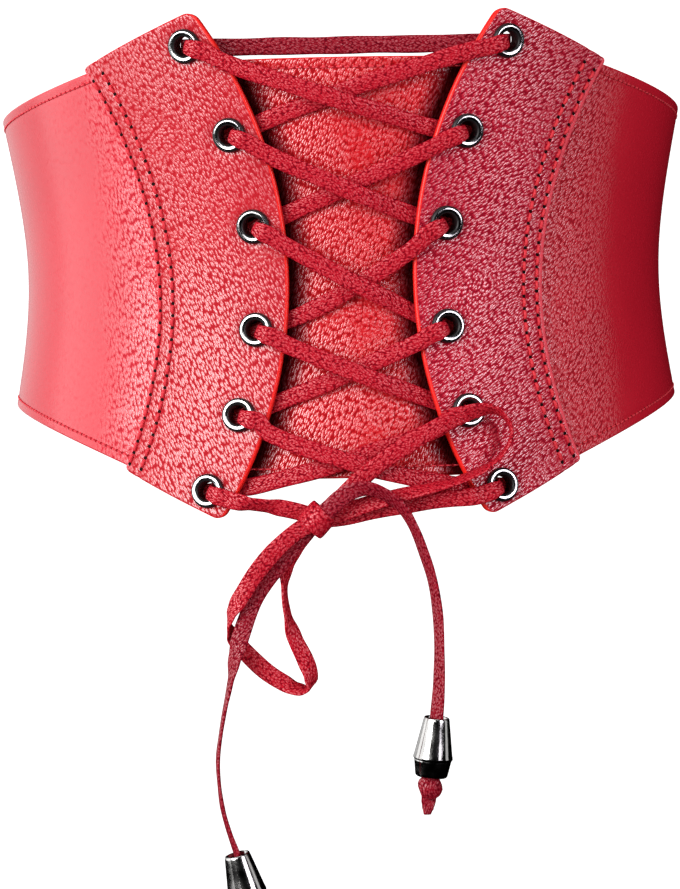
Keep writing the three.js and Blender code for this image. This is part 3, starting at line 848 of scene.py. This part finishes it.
clasp = belt_wall(
    "back_clasp_strip", 1, rounded_pattern(clasp_pattern, (2 * mm,) * 4),
    (-side_thickness, -side_thickness + clasp_thickness),
    edge_shares(clasp_width, 1.5 * mm), edge_shares(92 * mm, 3 * mm),
)
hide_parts("back_clasp")
print("elastic back:", len(elastics["left"].data.polygons), "faces a side")

# %% [markdown]
# ## Stitches
# Each stitch is a short thread that comes out of one needle hole and goes into the next.
# We walk along the seam at an even pace, and for every stitch lay a small tube that rises
# over the leather in its middle. A flat dark dot lies between each two stitches, as painted
# shade in a needle hole. The front panels have bold stitches with black dots, and the other
# seams fine red ones with dark red dots.

# %% Lay threads along a seam
# the pitch, the thread's thickness and the needle hole's radius
front_sewing = (3.6 * mm, 0.54 * mm, 0.6 * mm)
side_sewing = (2.3 * mm, 0.24 * mm, 0.44 * mm)
thread_sink = 0.18 * mm
front_thread_sink = 0.2 * mm
hole_lift = 0.12 * mm
thread_corners = 8
# share of the stitch's length, then rise and thickness as shares of the thread's thickness
thread_shape = (
    (-0.5, -0.8, 0.5), (-0.44, 0.1, 0.8), (-0.25, 0.7, 1.0), (0.0, 0.85, 1.0),
    (0.25, 0.7, 1.0), (0.44, 0.1, 0.8), (0.5, -0.8, 0.5),
)
hole_corners = 10


def seam_places(line, pitch):
    """Evenly spaced (arc, height) places along a line of places, with directions."""
    steps = norm(np.diff(line, axis=0), axis=1)
    along = np.concatenate([[0], np.cumsum(steps)])
    count = int(along[-1] / pitch)
    stops = (np.arange(count) + 0.5) * along[-1] / count

    def places_at(stops):
        return np.stack([np.interp(stops, along, line[:, k]) for k in (0, 1)], -1)

    ways = places_at(stops + 0.5 * mm) - places_at(stops - 0.5 * mm)
    return places_at(stops), ways / norm(ways, axis=1)[:, None]


def add_thread(points, faces, start, way, side, lift, length, thickness, rng):
    """One stitch: a tube of rings, thickest in the middle."""
    rings = []
    tilt = rng.normal(0, 0.03)
    way = np.array([way[0] - way[1] * tilt, way[1] + way[0] * tilt])
    turns = np.arange(thread_corners) / thread_corners * 2 * pi
    for share, rise, thick in thread_shape:
        arc, height = start + way * length * share
        centre = belt_point(side * arc, height, lift + rise * thickness)
        normal = belt_normal(side * arc, height)
        here = belt_point(side * arc, height, lift)
        ahead = belt_point(side * (arc + way[0] * mm), height + way[1] * mm, lift) - here
        cross = unit(np.cross(ahead, normal))
        rings.append([centre + thickness * thick * (cross * cos(a) + normal * sin(a)) for a in turns])
    faces.extend(tube_faces(len(rings), thread_corners, len(points)))
    points.extend(p for ring in rings for p in ring)


def add_needle_hole(points, faces, place, side, lift, radius):
    """A flat dark dot that lies on the leather, as painted shade in a needle hole."""
    centre = belt_point(side * place[0], place[1], lift)
    normal = belt_normal(side * place[0], place[1])
    level = unit(np.cross(normal, np.array([0.0, 0.0, 1.0])))
    upward = np.cross(level, normal)
    first = len(points)
    for a in np.arange(hole_corners) / hole_corners * 2 * pi:
        points.append(centre + radius * (level * cos(a) + upward * sin(a)))
    faces.append(tuple(first + k for k in range(hole_corners)))


def sew(name, sewing, seams):
    """Threads and needle holes along seams of (line, side, lift)."""
    pitch, thickness, hole_radius = sewing
    rng = np.random.default_rng(len(name))
    points, faces, hole_points, hole_faces = [], [], [], []
    for line, side, lift in seams:
        places, ways = seam_places(line, pitch)
        ends = np.vstack([places - ways * pitch / 2, places[-1:] + ways[-1:] * pitch / 2])
        for place, way in zip(places, ways):
            length = pitch - 1.2 * hole_radius
            add_thread(points, faces, place, way, side, lift, length, thickness, rng)
        for place in ends:
            add_needle_hole(hole_points, hole_faces, place, side, lift + hole_lift, hole_radius)
    threads = piece(f"{name}_threads", points, faces)
    holes = piece(f"{name}_needle_holes", hole_points, hole_faces)
    return outward(threads), holes


# %% Sew the panels
def offset_line(line, inset, side_of_line=1):
    """A line moved sideways by an inset."""
    ways = np.gradient(line, axis=0)
    ways /= norm(ways, axis=1)[:, None]
    return line + side_of_line * inset * np.stack([-ways[:, 1], ways[:, 0]], -1)


front_stitch_line = np.array([front_pattern(1, v) for v in np.linspace(0.018, 0.962, 80)])
front_seams, side_seams = [], []
for name, side in sides.items():
    stitch_lift = front_face_lift - front_thread_sink
    rows = [(offset_line(front_stitch_line, inset), side, stitch_lift) for inset in stitch_rows[name]]
    front_seams.append(sew(f"front_seam_{name}", front_sewing, rows))
    rows = []
    for up_share, side_of_line in ((1, -1), (0, 1)):
        line = np.array([side_pattern(a, up_share) for a in np.linspace(0.08, 0.97, 80)])
        line = offset_line(line, side_stitch_inset, side_of_line)
        rows.append((line, side, -thread_sink))
    side_seams.append(sew(f"side_seam_{name}", side_sewing, rows))
tongue_width_line = np.linspace(-tongue_half_width + 4 * mm, tongue_half_width - 4 * mm, 60)
rows = []
for height in (tongue_top - side_stitch_inset, tongue_bottom + side_stitch_inset):
    line = np.stack([tongue_width_line, np.full(60, height)], -1)
    rows.append((line, 1, tongue_face_lift - thread_sink))
side_seams.append(sew("tongue_seam", side_sewing, rows))
print("seams:", len(front_seams) + len(side_seams))

# %% [markdown]
# ## Eyelets and bells
# Both are turned shapes, so we draw half of the section once and spin it. Small roundings
# at each corner matter more than anything else on polished metal, because that is where
# the bright lines run. The eyelets take a near-black finish in the bore, as painted shade,
# and round the outside, as painted shade and a painted dark reflection, so only a thin
# bright crown is left.

# %% Spin a section
def turned_piece(name, profile, centre, axis, count):
    """A turned ring from (radius, height) rows in millimetres, about an axis through centre."""
    axis = unit(np.asarray(axis, float))
    helper = np.array([0.0, 0.0, 1.0]) if abs(axis[2]) < 0.9 else np.array([1.0, 0.0, 0.0])
    level = unit(np.cross(axis, helper))
    other = np.cross(axis, level)
    angles = np.arange(count) / count * 2 * pi
    spokes = [level * cos(a) + other * sin(a) for a in angles]
    points = [
        centre + (axis * height + radius * spoke) * mm
        for radius, height in profile
        for spoke in spokes
    ]
    faces = []
    for a in range(len(points)):
        b = a + 1 if (a + 1) % count else a + 1 - count
        faces.append((a, b, (b + count) % len(points), (a + count) % len(points)))
    return outward(piece(name, points, faces))


eyelet_profile = [
    (2.85, -3.05), (2.85, 0.85), (2.95, 1.15), (3.15, 1.36), (3.4, 1.48), (3.82, 1.57),
    (4.12, 1.6), (4.4, 1.57), (4.7, 1.46), (4.92, 1.18), (5.06, 0.8), (5.12, 0.45),
    (5.0, 0.32), (3.3, 0.3), (3.25, -2.4), (4.4, -2.45), (4.5, -2.7), (4.3, -3.05),
]
# rows of the section that take the near-black finish: painted shade in the bore, and painted shade
# with a painted dark reflection on the outer slope
shaded_rows = (0, 1, 2, 3, 7, 8, 9, 10, 11, 12)
eyelet_count = 40
bell_count = 64
eyelets, eyelet_darks = [], []
for row in range(len(eyelet_rows)):
    for name, side in sides.items():
        arc, height = eyelet_place(side, row)
        made = turned_piece(
            f"eyelet_{name}_{row + 1}_metal", eyelet_profile,
            belt_point(arc, height, front_face_lift), belt_normal(arc, height), eyelet_count,
        )
        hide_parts(f"eyelet_{name}_{row + 1}")
        eyelets.append(made)
        faces = range(len(made.data.polygons))
        eyelet_darks.append([int(face // eyelet_count in shaded_rows) for face in faces])

bell_profile = [
    (3.1, -0.2), (3.3, 0.0), (3.6, -0.05), (3.78, -0.3), (3.9, -0.9), (4.3, -3.2),
    (5.62, -10.9), (5.82, -11.7), (5.88, -12.1), (5.8, -12.35), (5.55, -12.45),
    (5.5, -12.65), (5.55, -12.8), (5.45, -13.2), (4.9, -16.6), (4.75, -17.3),
    (4.5, -17.6), (3.6, -17.6), (3.1, -17.3), (3.1, -12.0),
]
bells = {}
bell_places = {
    "left": (Vector((-37.3, -115, -169.8)), Vector((-33.2, -115, -187))),
    "right": (Vector((22.5, -115, -130.4)), Vector((20.5, -115, -148))),
}
for name, (top, foot) in bell_places.items():
    axis = np.array((top - foot).normalized())
    bells[name] = turned_piece(
        f"bell_{name}_metal", bell_profile, np.array(top) * mm, axis, bell_count,
    )
    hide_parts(f"bell_{name}")
print("eyelets:", len(eyelets), "bells:", len(bells))

# %% [markdown]
# ## The knots
# The bow's knot is one turn of lace round a bundle, so we sweep a band round a rounded
# core. Under each bell the lace is knotted once more, and its cut end sticks out.

# %% Tie the knots
knot_centre = np.array([-11.6, -113.2, -71.4]) * mm
knot_half_size = np.array([4.1, 4.3, 4.6]) * mm
knot_band_tilt = 0.72
knot_band_width = 7.2 * mm


def rounded_core(name, centre, half_size, rows=14, columns=24):
    """A rounded lump with soft folds, from rings of points."""
    points = [centre + half_size * np.array([0, 0, 1.0])]
    for r in range(1, rows):
        polar = pi * r / rows
        for c in range(columns):
            turn = 2 * pi * c / columns
            fold = 1 + 0.07 * sin(3 * turn + 4 * polar)
            points.append(centre + half_size * fold * np.array([
                sin(polar) * cos(turn),
                sin(polar) * sin(turn),
                cos(polar),
            ]))
    points.append(centre - half_size * np.array([0, 0, 1.0]))
    faces = []
    for c in range(columns):
        faces.append((0, 1 + c, 1 + (c + 1) % columns))
        last = 1 + (rows - 2) * columns
        faces.append((len(points) - 1, last + (c + 1) % columns, last + c))
        for r in range(rows - 2):
            a = 1 + r * columns + c
            b = 1 + r * columns + (c + 1) % columns
            faces.append((a, a + columns, b + columns, b))
    uvs = [(p[2], p[0]) for p in points]
    return outward(piece(name, points, faces, uvs))


knot_core = rounded_core("bow_knot_core", knot_centre, knot_half_size - lace_thickness * 0.6)
band_rows = []
for step in range(13):
    angle = step / 12 * 2 * pi + pi
    out = np.array([sin(angle), -cos(angle), 0.0])
    out = turned(out, np.array([0.0, 1.0, 0.0]), degrees(knot_band_tilt))
    place = knot_centre + out * knot_half_size * 0.96
    band_rows.append((place, out, knot_band_width))
knot_band, _ = sweep_lace("bow_knot_band", band_rows, 50, 2.5)
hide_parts("bow_knot")

end_knots = {}
for name, (top, foot) in bell_places.items():
    down = np.array((foot - top).normalized())
    centre = np.array(foot) * mm
    core_half = np.array([3.6, 3.3, 3.9]) * mm
    lump = rounded_core(f"end_knot_{name}_lump", centre + down * 3.0 * mm, core_half, 12, 20)
    tip_rows = [
        (centre + down * 3.4 * mm, toward_viewer, 5.6 * mm),
        (centre + down * 6.6 * mm, unit(toward_viewer + [0.5, 0, 0]), 5.0 * mm),
        (centre + down * 9.0 * mm, unit(toward_viewer + [-0.3, 0, 0]), 3.8 * mm),
        (centre + down * 11.4 * mm, unit(toward_viewer + [0.7, 0, 0]), 2.6 * mm),
    ]
    tip, _ = sweep_lace(f"end_knot_{name}_tip", tip_rows, 60)
    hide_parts(f"end_knot_{name}")
    end_knots[name] = (lump, tip)
print("knots tied")

# %% Hide the free laces' solids and take their lengths
def declare_lace(line):
    round(line_length(line), 4)


for name in ("left", "right"):
    made, line = lowest_laces[name]
    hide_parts(f"lace_{name}_6")
    pieces = [knot_core, knot_band] if name == "left" else []
    declare_lace(line)

# what holds the far end, how the lace lies, and the pieces it carries
hangings = {
    "bow_loop_left": ("object", "hanging", []),
    "bow_loop_right": ("object", "loose", []),
    "lace_tail_left": ("knot", "hanging", [bells["left"], *end_knots["left"]]),
    "lace_tail_right": ("knot", "hanging", [bells["right"], *end_knots["right"]]),
}
for name, (far_end, lay, pieces) in hangings.items():
    made, line = free_laces[name]
    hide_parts(name)
    declare_lace(line)
print("free laces declared:", len(hangings) + len(lowest_laces))

# %% [markdown]
# ## Finishes
# Every finish is made of nodes. Leather is a net of tiny pebbles, stretched along the way
# the hide was pulled, so a cell texture gives the height. The creases between the pebbles
# get painted shade and duller shine, and their tops a paler painted sheen. The lace gets
# slanted fibres in the same way. Gunmetal is almost a mirror, but dark.

# %% Helpers for finishes
def new_finish(name, colour, roughness, metallic=0.0):
    """A finish with its shader; constants sit on the shader's own sockets."""
    finish = bpy.data.materials.new(name)
    finish.use_nodes = True
    shader = finish.node_tree.nodes["Principled BSDF"]
    feed(shader, {"Base Color": (*colour, 1), "Roughness": roughness, "Metallic": metallic})
    return finish, finish.node_tree, shader


def feed(node, sources):
    """Links outputs of other nodes to a node's inputs, or sets plain values on them."""
    for name, source in sources.items():
        if isinstance(source, bpy.types.NodeSocket):
            node.id_data.links.new(source, node.inputs[name])
        else:
            node.inputs[name].default_value = source


def add_node(tree, kind, sources, **values):
    made = tree.nodes.new(kind)
    for key, value in values.items():
        setattr(made, key, value)
    feed(made, sources)
    return made


def math_node(operation, first, second=None):
    """One sum on outputs of nodes or plain numbers."""
    tree = (second if isinstance(first, (int, float)) else first).id_data
    sources = {0: first} if second is None else {0: first, 1: second}
    return add_node(tree, "ShaderNodeMath", sources, operation=operation).outputs[0]


def ramp(value, stops):
    """A colour ramp from (position, colour) stops; a plain number is a grey."""
    made = add_node(value.id_data, "ShaderNodeValToRGB", {0: value})
    while len(made.color_ramp.elements) < len(stops):
        made.color_ramp.elements.new(0.5)
    for element, (position, colour) in zip(made.color_ramp.elements, stops):
        red_green_blue = colour if isinstance(colour, tuple) else (colour,) * 3
        element.position = position
        element.color = (*red_green_blue, 1)
    return made.outputs[0]


def noise(place, scale, detail=2.0, output="Fac"):
    sources = {"Vector": place, "Scale": scale, "Detail": detail}
    return add_node(place.id_data, "ShaderNodeTexNoise", sources).outputs[output]


def along_and_across(tree):
    """The piece's own flat coordinates, in metres."""
    return add_node(tree, "ShaderNodeUVMap", {}, uv_map="lay").outputs["UV"]


def place_in_piece(tree):
    return add_node(tree, "ShaderNodeTexCoord", {}).outputs["Object"]


def add_bump(shader, height, distance):
    """Tilts the light on a finish by a height."""
    bump = add_node(shader.id_data, "ShaderNodeBump", {"Height": height, "Distance": distance})
    feed(shader, {"Normal": bump.outputs["Normal"]})


def dress(pieces, *finishes):
    """Gives every piece its finishes, slot by slot."""
    for made in pieces:
        for slot, finish in enumerate(finishes):
            if slot == len(made.data.materials):
                made.data.materials.append(finish)
            made.data.materials[slot] = finish


# %% Leather
def pebble_height(place, along, across, slant):
    """Domes from 0 in the creases to 1 on top, stretched along a slanted direction."""
    laid = add_node(
        place.id_data, "ShaderNodeMapping",
        {"Vector": place, "Rotation": (0, 0, radians(slant)), "Scale": (along, across, 1)},
        vector_type="TEXTURE",
    )
    cells = add_node(
        place.id_data, "ShaderNodeTexVoronoi", {"Scale": 1, "Randomness": 0.85},
        feature="F1", voronoi_dimensions="2D",
    )
    feed(cells, {"Vector": laid.outputs[0]})
    drop = math_node("POWER", math_node("MULTIPLY", cells.outputs["Distance"], 1.33), 2)
    return math_node("SUBTRACT", 1.0, math_node("MINIMUM", drop, 1.0))


def mixed(share, first, second):
    """first where share is 0 and second where it is 1."""
    gap = math_node("SUBTRACT", second, first)
    return math_node("ADD", first, math_node("MULTIPLY", gap, share))


def leather_finish(name, colour, slant, relief, smooth_from=None, coat=0.0, shade=None,
                   crease_shade_share=0.6, gloss=1.0):
    """Grained leather; from the arc smooth_from on, its grain fades away. A shade given here is
    painted shade: darker colour and weaker shine near the front panels' inner edges.
    """
    finish, tree, shader = new_finish(name, colour, 0.3)
    lay = along_and_across(tree)
    drift = {0: noise(lay, 110, output="Color"), 1: (1.5 * mm, 1.5 * mm, 0), 2: lay}
    bent = add_node(tree, "ShaderNodeVectorMath", drift, operation="MULTIPLY_ADD").outputs[0]
    strokes = pebble_height(bent, 1.75 * mm, 0.68 * mm, slant)
    pebbles = pebble_height(bent, 1.25 * mm, 0.88 * mm, slant + 14)
    grain = mixed(ramp(noise(lay, 40), [(0.52, 0), (0.7, 1)]), strokes, pebbles)
    grain = math_node("ADD", grain, math_node("MULTIPLY", noise(lay, 1700), 0.5))
    grain = math_node("SUBTRACT", grain, 0.25)
    height = grain
    split = add_node(tree, "ShaderNodeSeparateXYZ", {0: lay})
    arc = math_node("ABSOLUTE", split.outputs[0])
    if smooth_from is not None:
        ragged = math_node("MULTIPLY", noise(lay, 90), 12 * mm)
        past = math_node("SUBTRACT", math_node("ADD", arc, ragged), smooth_from)
        fade = math_node("MINIMUM", math_node("DIVIDE", past, 18 * mm), 0.92)
        kept = math_node("MINIMUM", math_node("SUBTRACT", 1.0, fade), 1.0)
        height = math_node("MULTIPLY", grain, kept)
        grain = mixed(kept, 0.6, grain)
    add_bump(shader, height, relief)
    # painted shade darkens the creases, and the paler pink top colour is a painted sheen
    crease_shade = tuple(c * crease_shade_share for c in colour)
    top = (min(1, colour[0] * 1.25), colour[1] + 0.07, colour[2] + 0.08)
    tone = ramp(grain, [(0.2, crease_shade), (0.55, colour), (0.7, colour), (0.95, top)])
    mottle_and_shade = ramp(noise(lay, 22, 3), [(0.3, (0.9, 0.86, 0.88)), (0.7, (1, 1, 1))])
    shine = ramp(grain, [(0.42, 0.04), (0.86, gloss)])
    # painted shade: colour and shine grow darker towards the front panels' inner edges, where they
    # shade the tongue
    if shade is not None:
        offset = math_node("SUBTRACT", split.outputs[1], inner_edge_level)
        bow = math_node("POWER", math_node("ABSOLUTE", offset), 2)
        bow = math_node("DIVIDE", bow, 2 * inner_edge_radius)
        edge = math_node("ADD", bow, lacing_gap / 2)
        aside = math_node("DIVIDE", math_node("SUBTRACT", edge, arc), shadow_reach)
        mottle_and_shade = ramp(aside, shade)
        dimmed = ramp(aside, [(position, tint[0]) for position, tint in shade])
        shine = math_node("MULTIPLY", shine, dimmed)
    sources = {"Factor": 1, "A": tone, "B": mottle_and_shade}
    mix = add_node(tree, "ShaderNodeMix", sources, data_type="RGBA", blend_type="MULTIPLY")
    feed(shader, {
        "Base Color": mix.outputs["Result"],
        "Roughness": ramp(grain, [(0.15, 0.7), (0.6, 0.24), (0.9, 0.2)]),
        "Specular IOR Level": shine, "IOR": 1.62, "Coat Weight": coat, "Coat Roughness": 0.35,
    })
    return finish


# painted shade on the tongue: near black at the front panels' inner edges, gone about 7 mm inside
shadow_reach = 12 * mm
tongue_shade = [(0.04, (0.06, 0.05, 0.06)), (0.32, (0.4, 0.34, 0.42)), (0.62, (1, 1, 1))]
side_red = (0.62, 0.01, 0.028)
# the left copies of the same leather have lighter painted crease shade, and the front one a slightly
# paler colour, as painted light from the left
front_leathers = {
    "left": leather_finish(
        "front_leather_left_grain", (0.52, 0.014, 0.024), -64, 0.12 * mm,
        crease_shade_share=0.85, gloss=0.62,
    ),
    "right": leather_finish("front_leather_right_grain", (0.52, 0.007, 0.03), 34, 0.2 * mm),
}
side_leathers = {
    "left": leather_finish(
        "side_leather_left_grain", side_red, -70, 0.14 * mm, 74 * mm, 0.2, crease_shade_share=0.8,
    ),
    "right": leather_finish("side_leather_right_grain", side_red, 48, 0.2 * mm, 86 * mm, 0.1),
}
tongue_leather = leather_finish(
    "tongue_leather_grain", (0.62, 0.007, 0.013), 68, 0.18 * mm, shade=tongue_shade,
)
edge_paint, edge_tree, edge_shader = new_finish("edge_paint", (0.84, 0.012, 0.008), 0.35)
add_bump(edge_shader, noise(place_in_piece(edge_tree), 900), 0.05 * mm)
# paler pink edge paint: a painted highlight along the front panels' outer edges
edge_band_highlight = new_finish("edge_band_highlight", (0.84, 0.06, 0.09), 0.35)[0]
for name in ("left", "right"):
    dress([front_panels[name]], front_leathers[name], edge_paint, edge_band_highlight)
    dress([side_panels[name]], side_leathers[name], edge_paint)
dress([tongue], tongue_leather, edge_paint)
print("leather finishes made")

# %% Lace
def lace_finish(name, colour):
    """A flat waxed lace: slanted fibres that run along it, with painted shade in the gaps and paler
    tops as a painted highlight.
    """
    finish, tree, shader = new_finish(name, colour, 0.42)
    lay = along_and_across(tree)
    place = place_in_piece(tree)
    one_way = pebble_height(lay, 1.25 * mm, 0.55 * mm, 30)
    other_way = pebble_height(lay, 1.05 * mm, 0.6 * mm, -20)
    fibres = mixed(ramp(noise(place, 420), [(0.42, 0), (0.58, 1)]), one_way, other_way)
    fine = math_node("MULTIPLY", noise(place, 2600, 3), 0.7)
    height = math_node("ADD", fibres, fine)
    fibres = math_node("SUBTRACT", height, 0.35)
    add_bump(shader, height, 0.15 * mm)
    fibre_gap_shade = (colour[0] * 0.4, colour[1] * 0.3, colour[2] * 0.45)
    fibre_top_highlight = (min(1, colour[0] * 1.4), colour[1] + 0.03, colour[2] + 0.04)
    feed(shader, {
        "Base Color": ramp(fibres, [(0.2, fibre_gap_shade), (0.55, colour), (0.75, colour), (1.0, fibre_top_highlight)]),
        "Roughness": ramp(fibres, [(0.2, 0.75), (0.7, 0.34)]),
        "Specular IOR Level": ramp(fibres, [(0.62, 0.04), (0.98, 0.9)]),
    })
    return finish


def twisted_thread(name, colour):
    finish, tree, shader = new_finish(name, colour, 0.45)
    sources = {"Vector": place_in_piece(tree), "Scale": 700}
    twist = add_node(tree, "ShaderNodeTexWave", sources, bands_direction="DIAGONAL")
    add_bump(shader, twist.outputs["Fac"], 0.06 * mm)
    feed(shader, {"Specular IOR Level": 0.25})
    return finish


# the dot's dark colour is painted shade in a needle hole
def needle_hole_shade(name, dark, pale):
    finish, tree, shader = new_finish(name, dark, 0.8)
    tone = ramp(noise(place_in_piece(tree), 1500), [(0.3, dark), (0.7, pale)])
    feed(shader, {"Base Color": tone, "Specular IOR Level": 0.1})
    return finish


# two copies of one lace: the darker copy is painted shade, for the bar behind the panels, the hanging
# ends and their knots
lit_lace = lace_finish("lace_fibre_lit", (0.46, 0.006, 0.018))
shaded_lace = lace_finish("lace_fibre_shaded", (0.28, 0.005, 0.016))
bright_thread = twisted_thread("bright_thread", (0.66, 0.03, 0.045))
fine_thread = twisted_thread("fine_thread", (0.75, 0.05, 0.07))
black_hole_shade = needle_hole_shade("black_hole_shade", (0.006, 0.001, 0.001), (0.014, 0.002, 0.002))
red_hole_shade = needle_hole_shade("red_hole_shade", (0.26, 0.003, 0.008), (0.36, 0.005, 0.012))

loops = [free_laces["bow_loop_left"][0], free_laces["bow_loop_right"][0]]
lowest_pair = [made for made, line in lowest_laces.values()]
ends = [free_laces["lace_tail_left"][0], free_laces["lace_tail_right"][0]]
knots_and_tips = [part for parts in end_knots.values() for part in parts]
dress([*loops, knot_core, knot_band, *crossings, *lowest_pair], lit_lace)
dress([*ends, lace_bar, *knots_and_tips], shaded_lace)
for seams, thread, hole in (
    (front_seams, bright_thread, black_hole_shade), (side_seams, fine_thread, red_hole_shade),
):
    dress([threads for threads, holes in seams], thread)
    dress([holes for threads, holes in seams], hole)
print("lace and thread finishes made")

# %% Elastic
webbing, web_tree, web_shader = new_finish("elastic_webbing", (0.3, 0.012, 0.025), 0.8)
web_split = add_node(web_tree, "ShaderNodeSeparateXYZ", {0: along_and_across(web_tree)})
weave_pitches = (1.2 * mm, 0.9 * mm)
waves = [
    math_node("SINE", math_node("MULTIPLY", socket, 2 * pi / pitch))
    for socket, pitch in zip(web_split.outputs, weave_pitches)
]
weave = math_node("MULTIPLY", *waves)
add_bump(web_shader, weave, 0.1 * mm)
weave_level = math_node("ADD", math_node("MULTIPLY", weave, 0.5), 0.5)
weave_tones = [(0.1, (0.16, 0.006, 0.012)), (0.8, (0.32, 0.012, 0.025))]
feed(web_shader, {"Base Color": ramp(weave_level, weave_tones)})
dress(elastics.values(), webbing, webbing)
print("elastic finish made")

# %% Metal
def metal_finish(name, colour, roughness, scratch):
    finish, tree, shader = new_finish(name, colour, roughness, 1.0)
    marks = noise(place_in_piece(tree), scratch, 6)
    feed(shader, {
        "Roughness": ramp(marks, [(0.35, roughness * 0.7), (0.7, roughness * 1.5)]),
        "Base Color": ramp(marks, [(0.3, tuple(c * 0.8 for c in colour)), (0.7, colour)]),
    })
    return finish


eyelet_metal = metal_finish("eyelet_gunmetal", (0.62, 0.62, 0.63), 0.14, 400)
bell_metal = metal_finish("bell_gunmetal", (0.55, 0.54, 0.53), 0.14, 300)
clasp_metal = metal_finish("clasp_metal", (0.12, 0.12, 0.13), 0.4, 600)
# near-black finish: painted shade and a painted dark reflection on the eyelets
eyelet_shade = new_finish("eyelet_painted_shade", (0.008, 0.007, 0.008), 0.45)[0]
dress(eyelets, eyelet_metal, eyelet_shade)
for made, darks in zip(eyelets, eyelet_darks):
    made.data.polygons.foreach_set("material_index", darks)
dress(bells.values(), bell_metal)
dress([clasp], clasp_metal, clasp_metal)
print("metal finishes made")

# %% [markdown]
# ## Floor, backdrop and light
# A plain pale sheet runs back from under the belt and curves up behind it. It glows by
# itself and lights nothing, so the belt's dark side stays dark. The main light is a large
# soft panel on the left, which makes that side pale. A smaller and cooler panel on the
# right gives the pebbles their sparks there, and big weak panels fill the shadows.

# %% The pale sweep
floor_level = -0.42
sweep_radius = 0.7
sweep_side = 3.0
profile = [(-1.4, floor_level)]
for a in np.linspace(0, pi / 2, 16):
    rise = sweep_radius - sweep_radius * cos(a)
    profile.append((0.9 + sweep_radius * sin(a), floor_level + rise))
profile.append((1.6, 2.4))
sweep_points = [(x, y, z) for y, z in profile for x in (-sweep_side, sweep_side)]
sweep_faces = [(k, k + 1, k + 3, k + 2) for k in range(0, 2 * len(profile) - 2, 2)]
sweep_mesh = bpy.data.meshes.new("pale_sweep")
sweep_mesh.from_pydata(sweep_points, [], sweep_faces)
sweep_mesh.polygons.foreach_set("use_smooth", [True] * len(sweep_mesh.polygons))
sweep = bpy.data.objects.new("pale_sweep", sweep_mesh)
bpy.context.scene.collection.objects.link(sweep)
pale, _, pale_shader = new_finish("pale_paper", (0.9, 0.9, 0.9), 0.9)
feed(pale_shader, {"Emission Color": (1, 1, 1, 1), "Emission Strength": 0.95})
sweep_mesh.materials.append(pale)
sweep.visible_diffuse = False
sweep.visible_glossy = False
sweep.visible_shadow = False

# %% The lights
def soft_panel(name, place, size, power, colour=(1, 1, 1)):
    """A rectangular light that looks at the belt."""
    light = bpy.data.lights.new(name, "AREA")
    light.shape = "RECTANGLE"
    light.size, light.size_y = size
    light.energy = power
    light.color = colour
    made = bpy.data.objects.new(name, light)
    made.location = place
    toward = Vector((0, -0.06, 0)) - Vector(place)
    made.rotation_euler = toward.to_track_quat("-Z", "Y").to_euler()
    made.visible_camera = False
    bpy.context.scene.collection.objects.link(made)
    return made


# place, width and height in metres, then the power in watts
lights = {
    "main_light": ((-0.78, -0.84, 0.3), (0.7, 0.7), 12.5),
    "left_wall": ((-0.95, -0.02, 0.12), (0.95, 0.9), 5.0),
    "left_back": ((-0.65, 0.75, 0.1), (0.8, 0.9), 1.8),
    "front_left": ((-0.32, -1.0, 0.36), (0.4, 0.4), 1.2),
    "right_box": ((0.7, -0.79, 0.22), (0.42, 0.5), 4.2, (0.96, 0.92, 1.0)),
    "right_wall": ((0.95, -0.14, 0.15), (0.35, 0.8), 0.75),
    "top_light": ((0.0, -0.5, 0.95), (0.8, 0.25), 1.6),
    "floor_bounce": ((0.0, -0.5, -0.4), (0.8, 0.5), 1.0),
}
for name, facts in lights.items():
    light = soft_panel(name, *facts)
    light.visible_glossy = name != "floor_bounce"
print("lights:", len(lights))

world = bpy.data.worlds.new("studio")
bpy.context.scene.world = world
world.use_nodes = True
feed(world.node_tree.nodes["Background"], {"Color": (1, 1, 1, 1), "Strength": 0.09})
world.cycles_visibility.glossy = False
bpy.context.scene.view_settings.view_transform = "Standard"
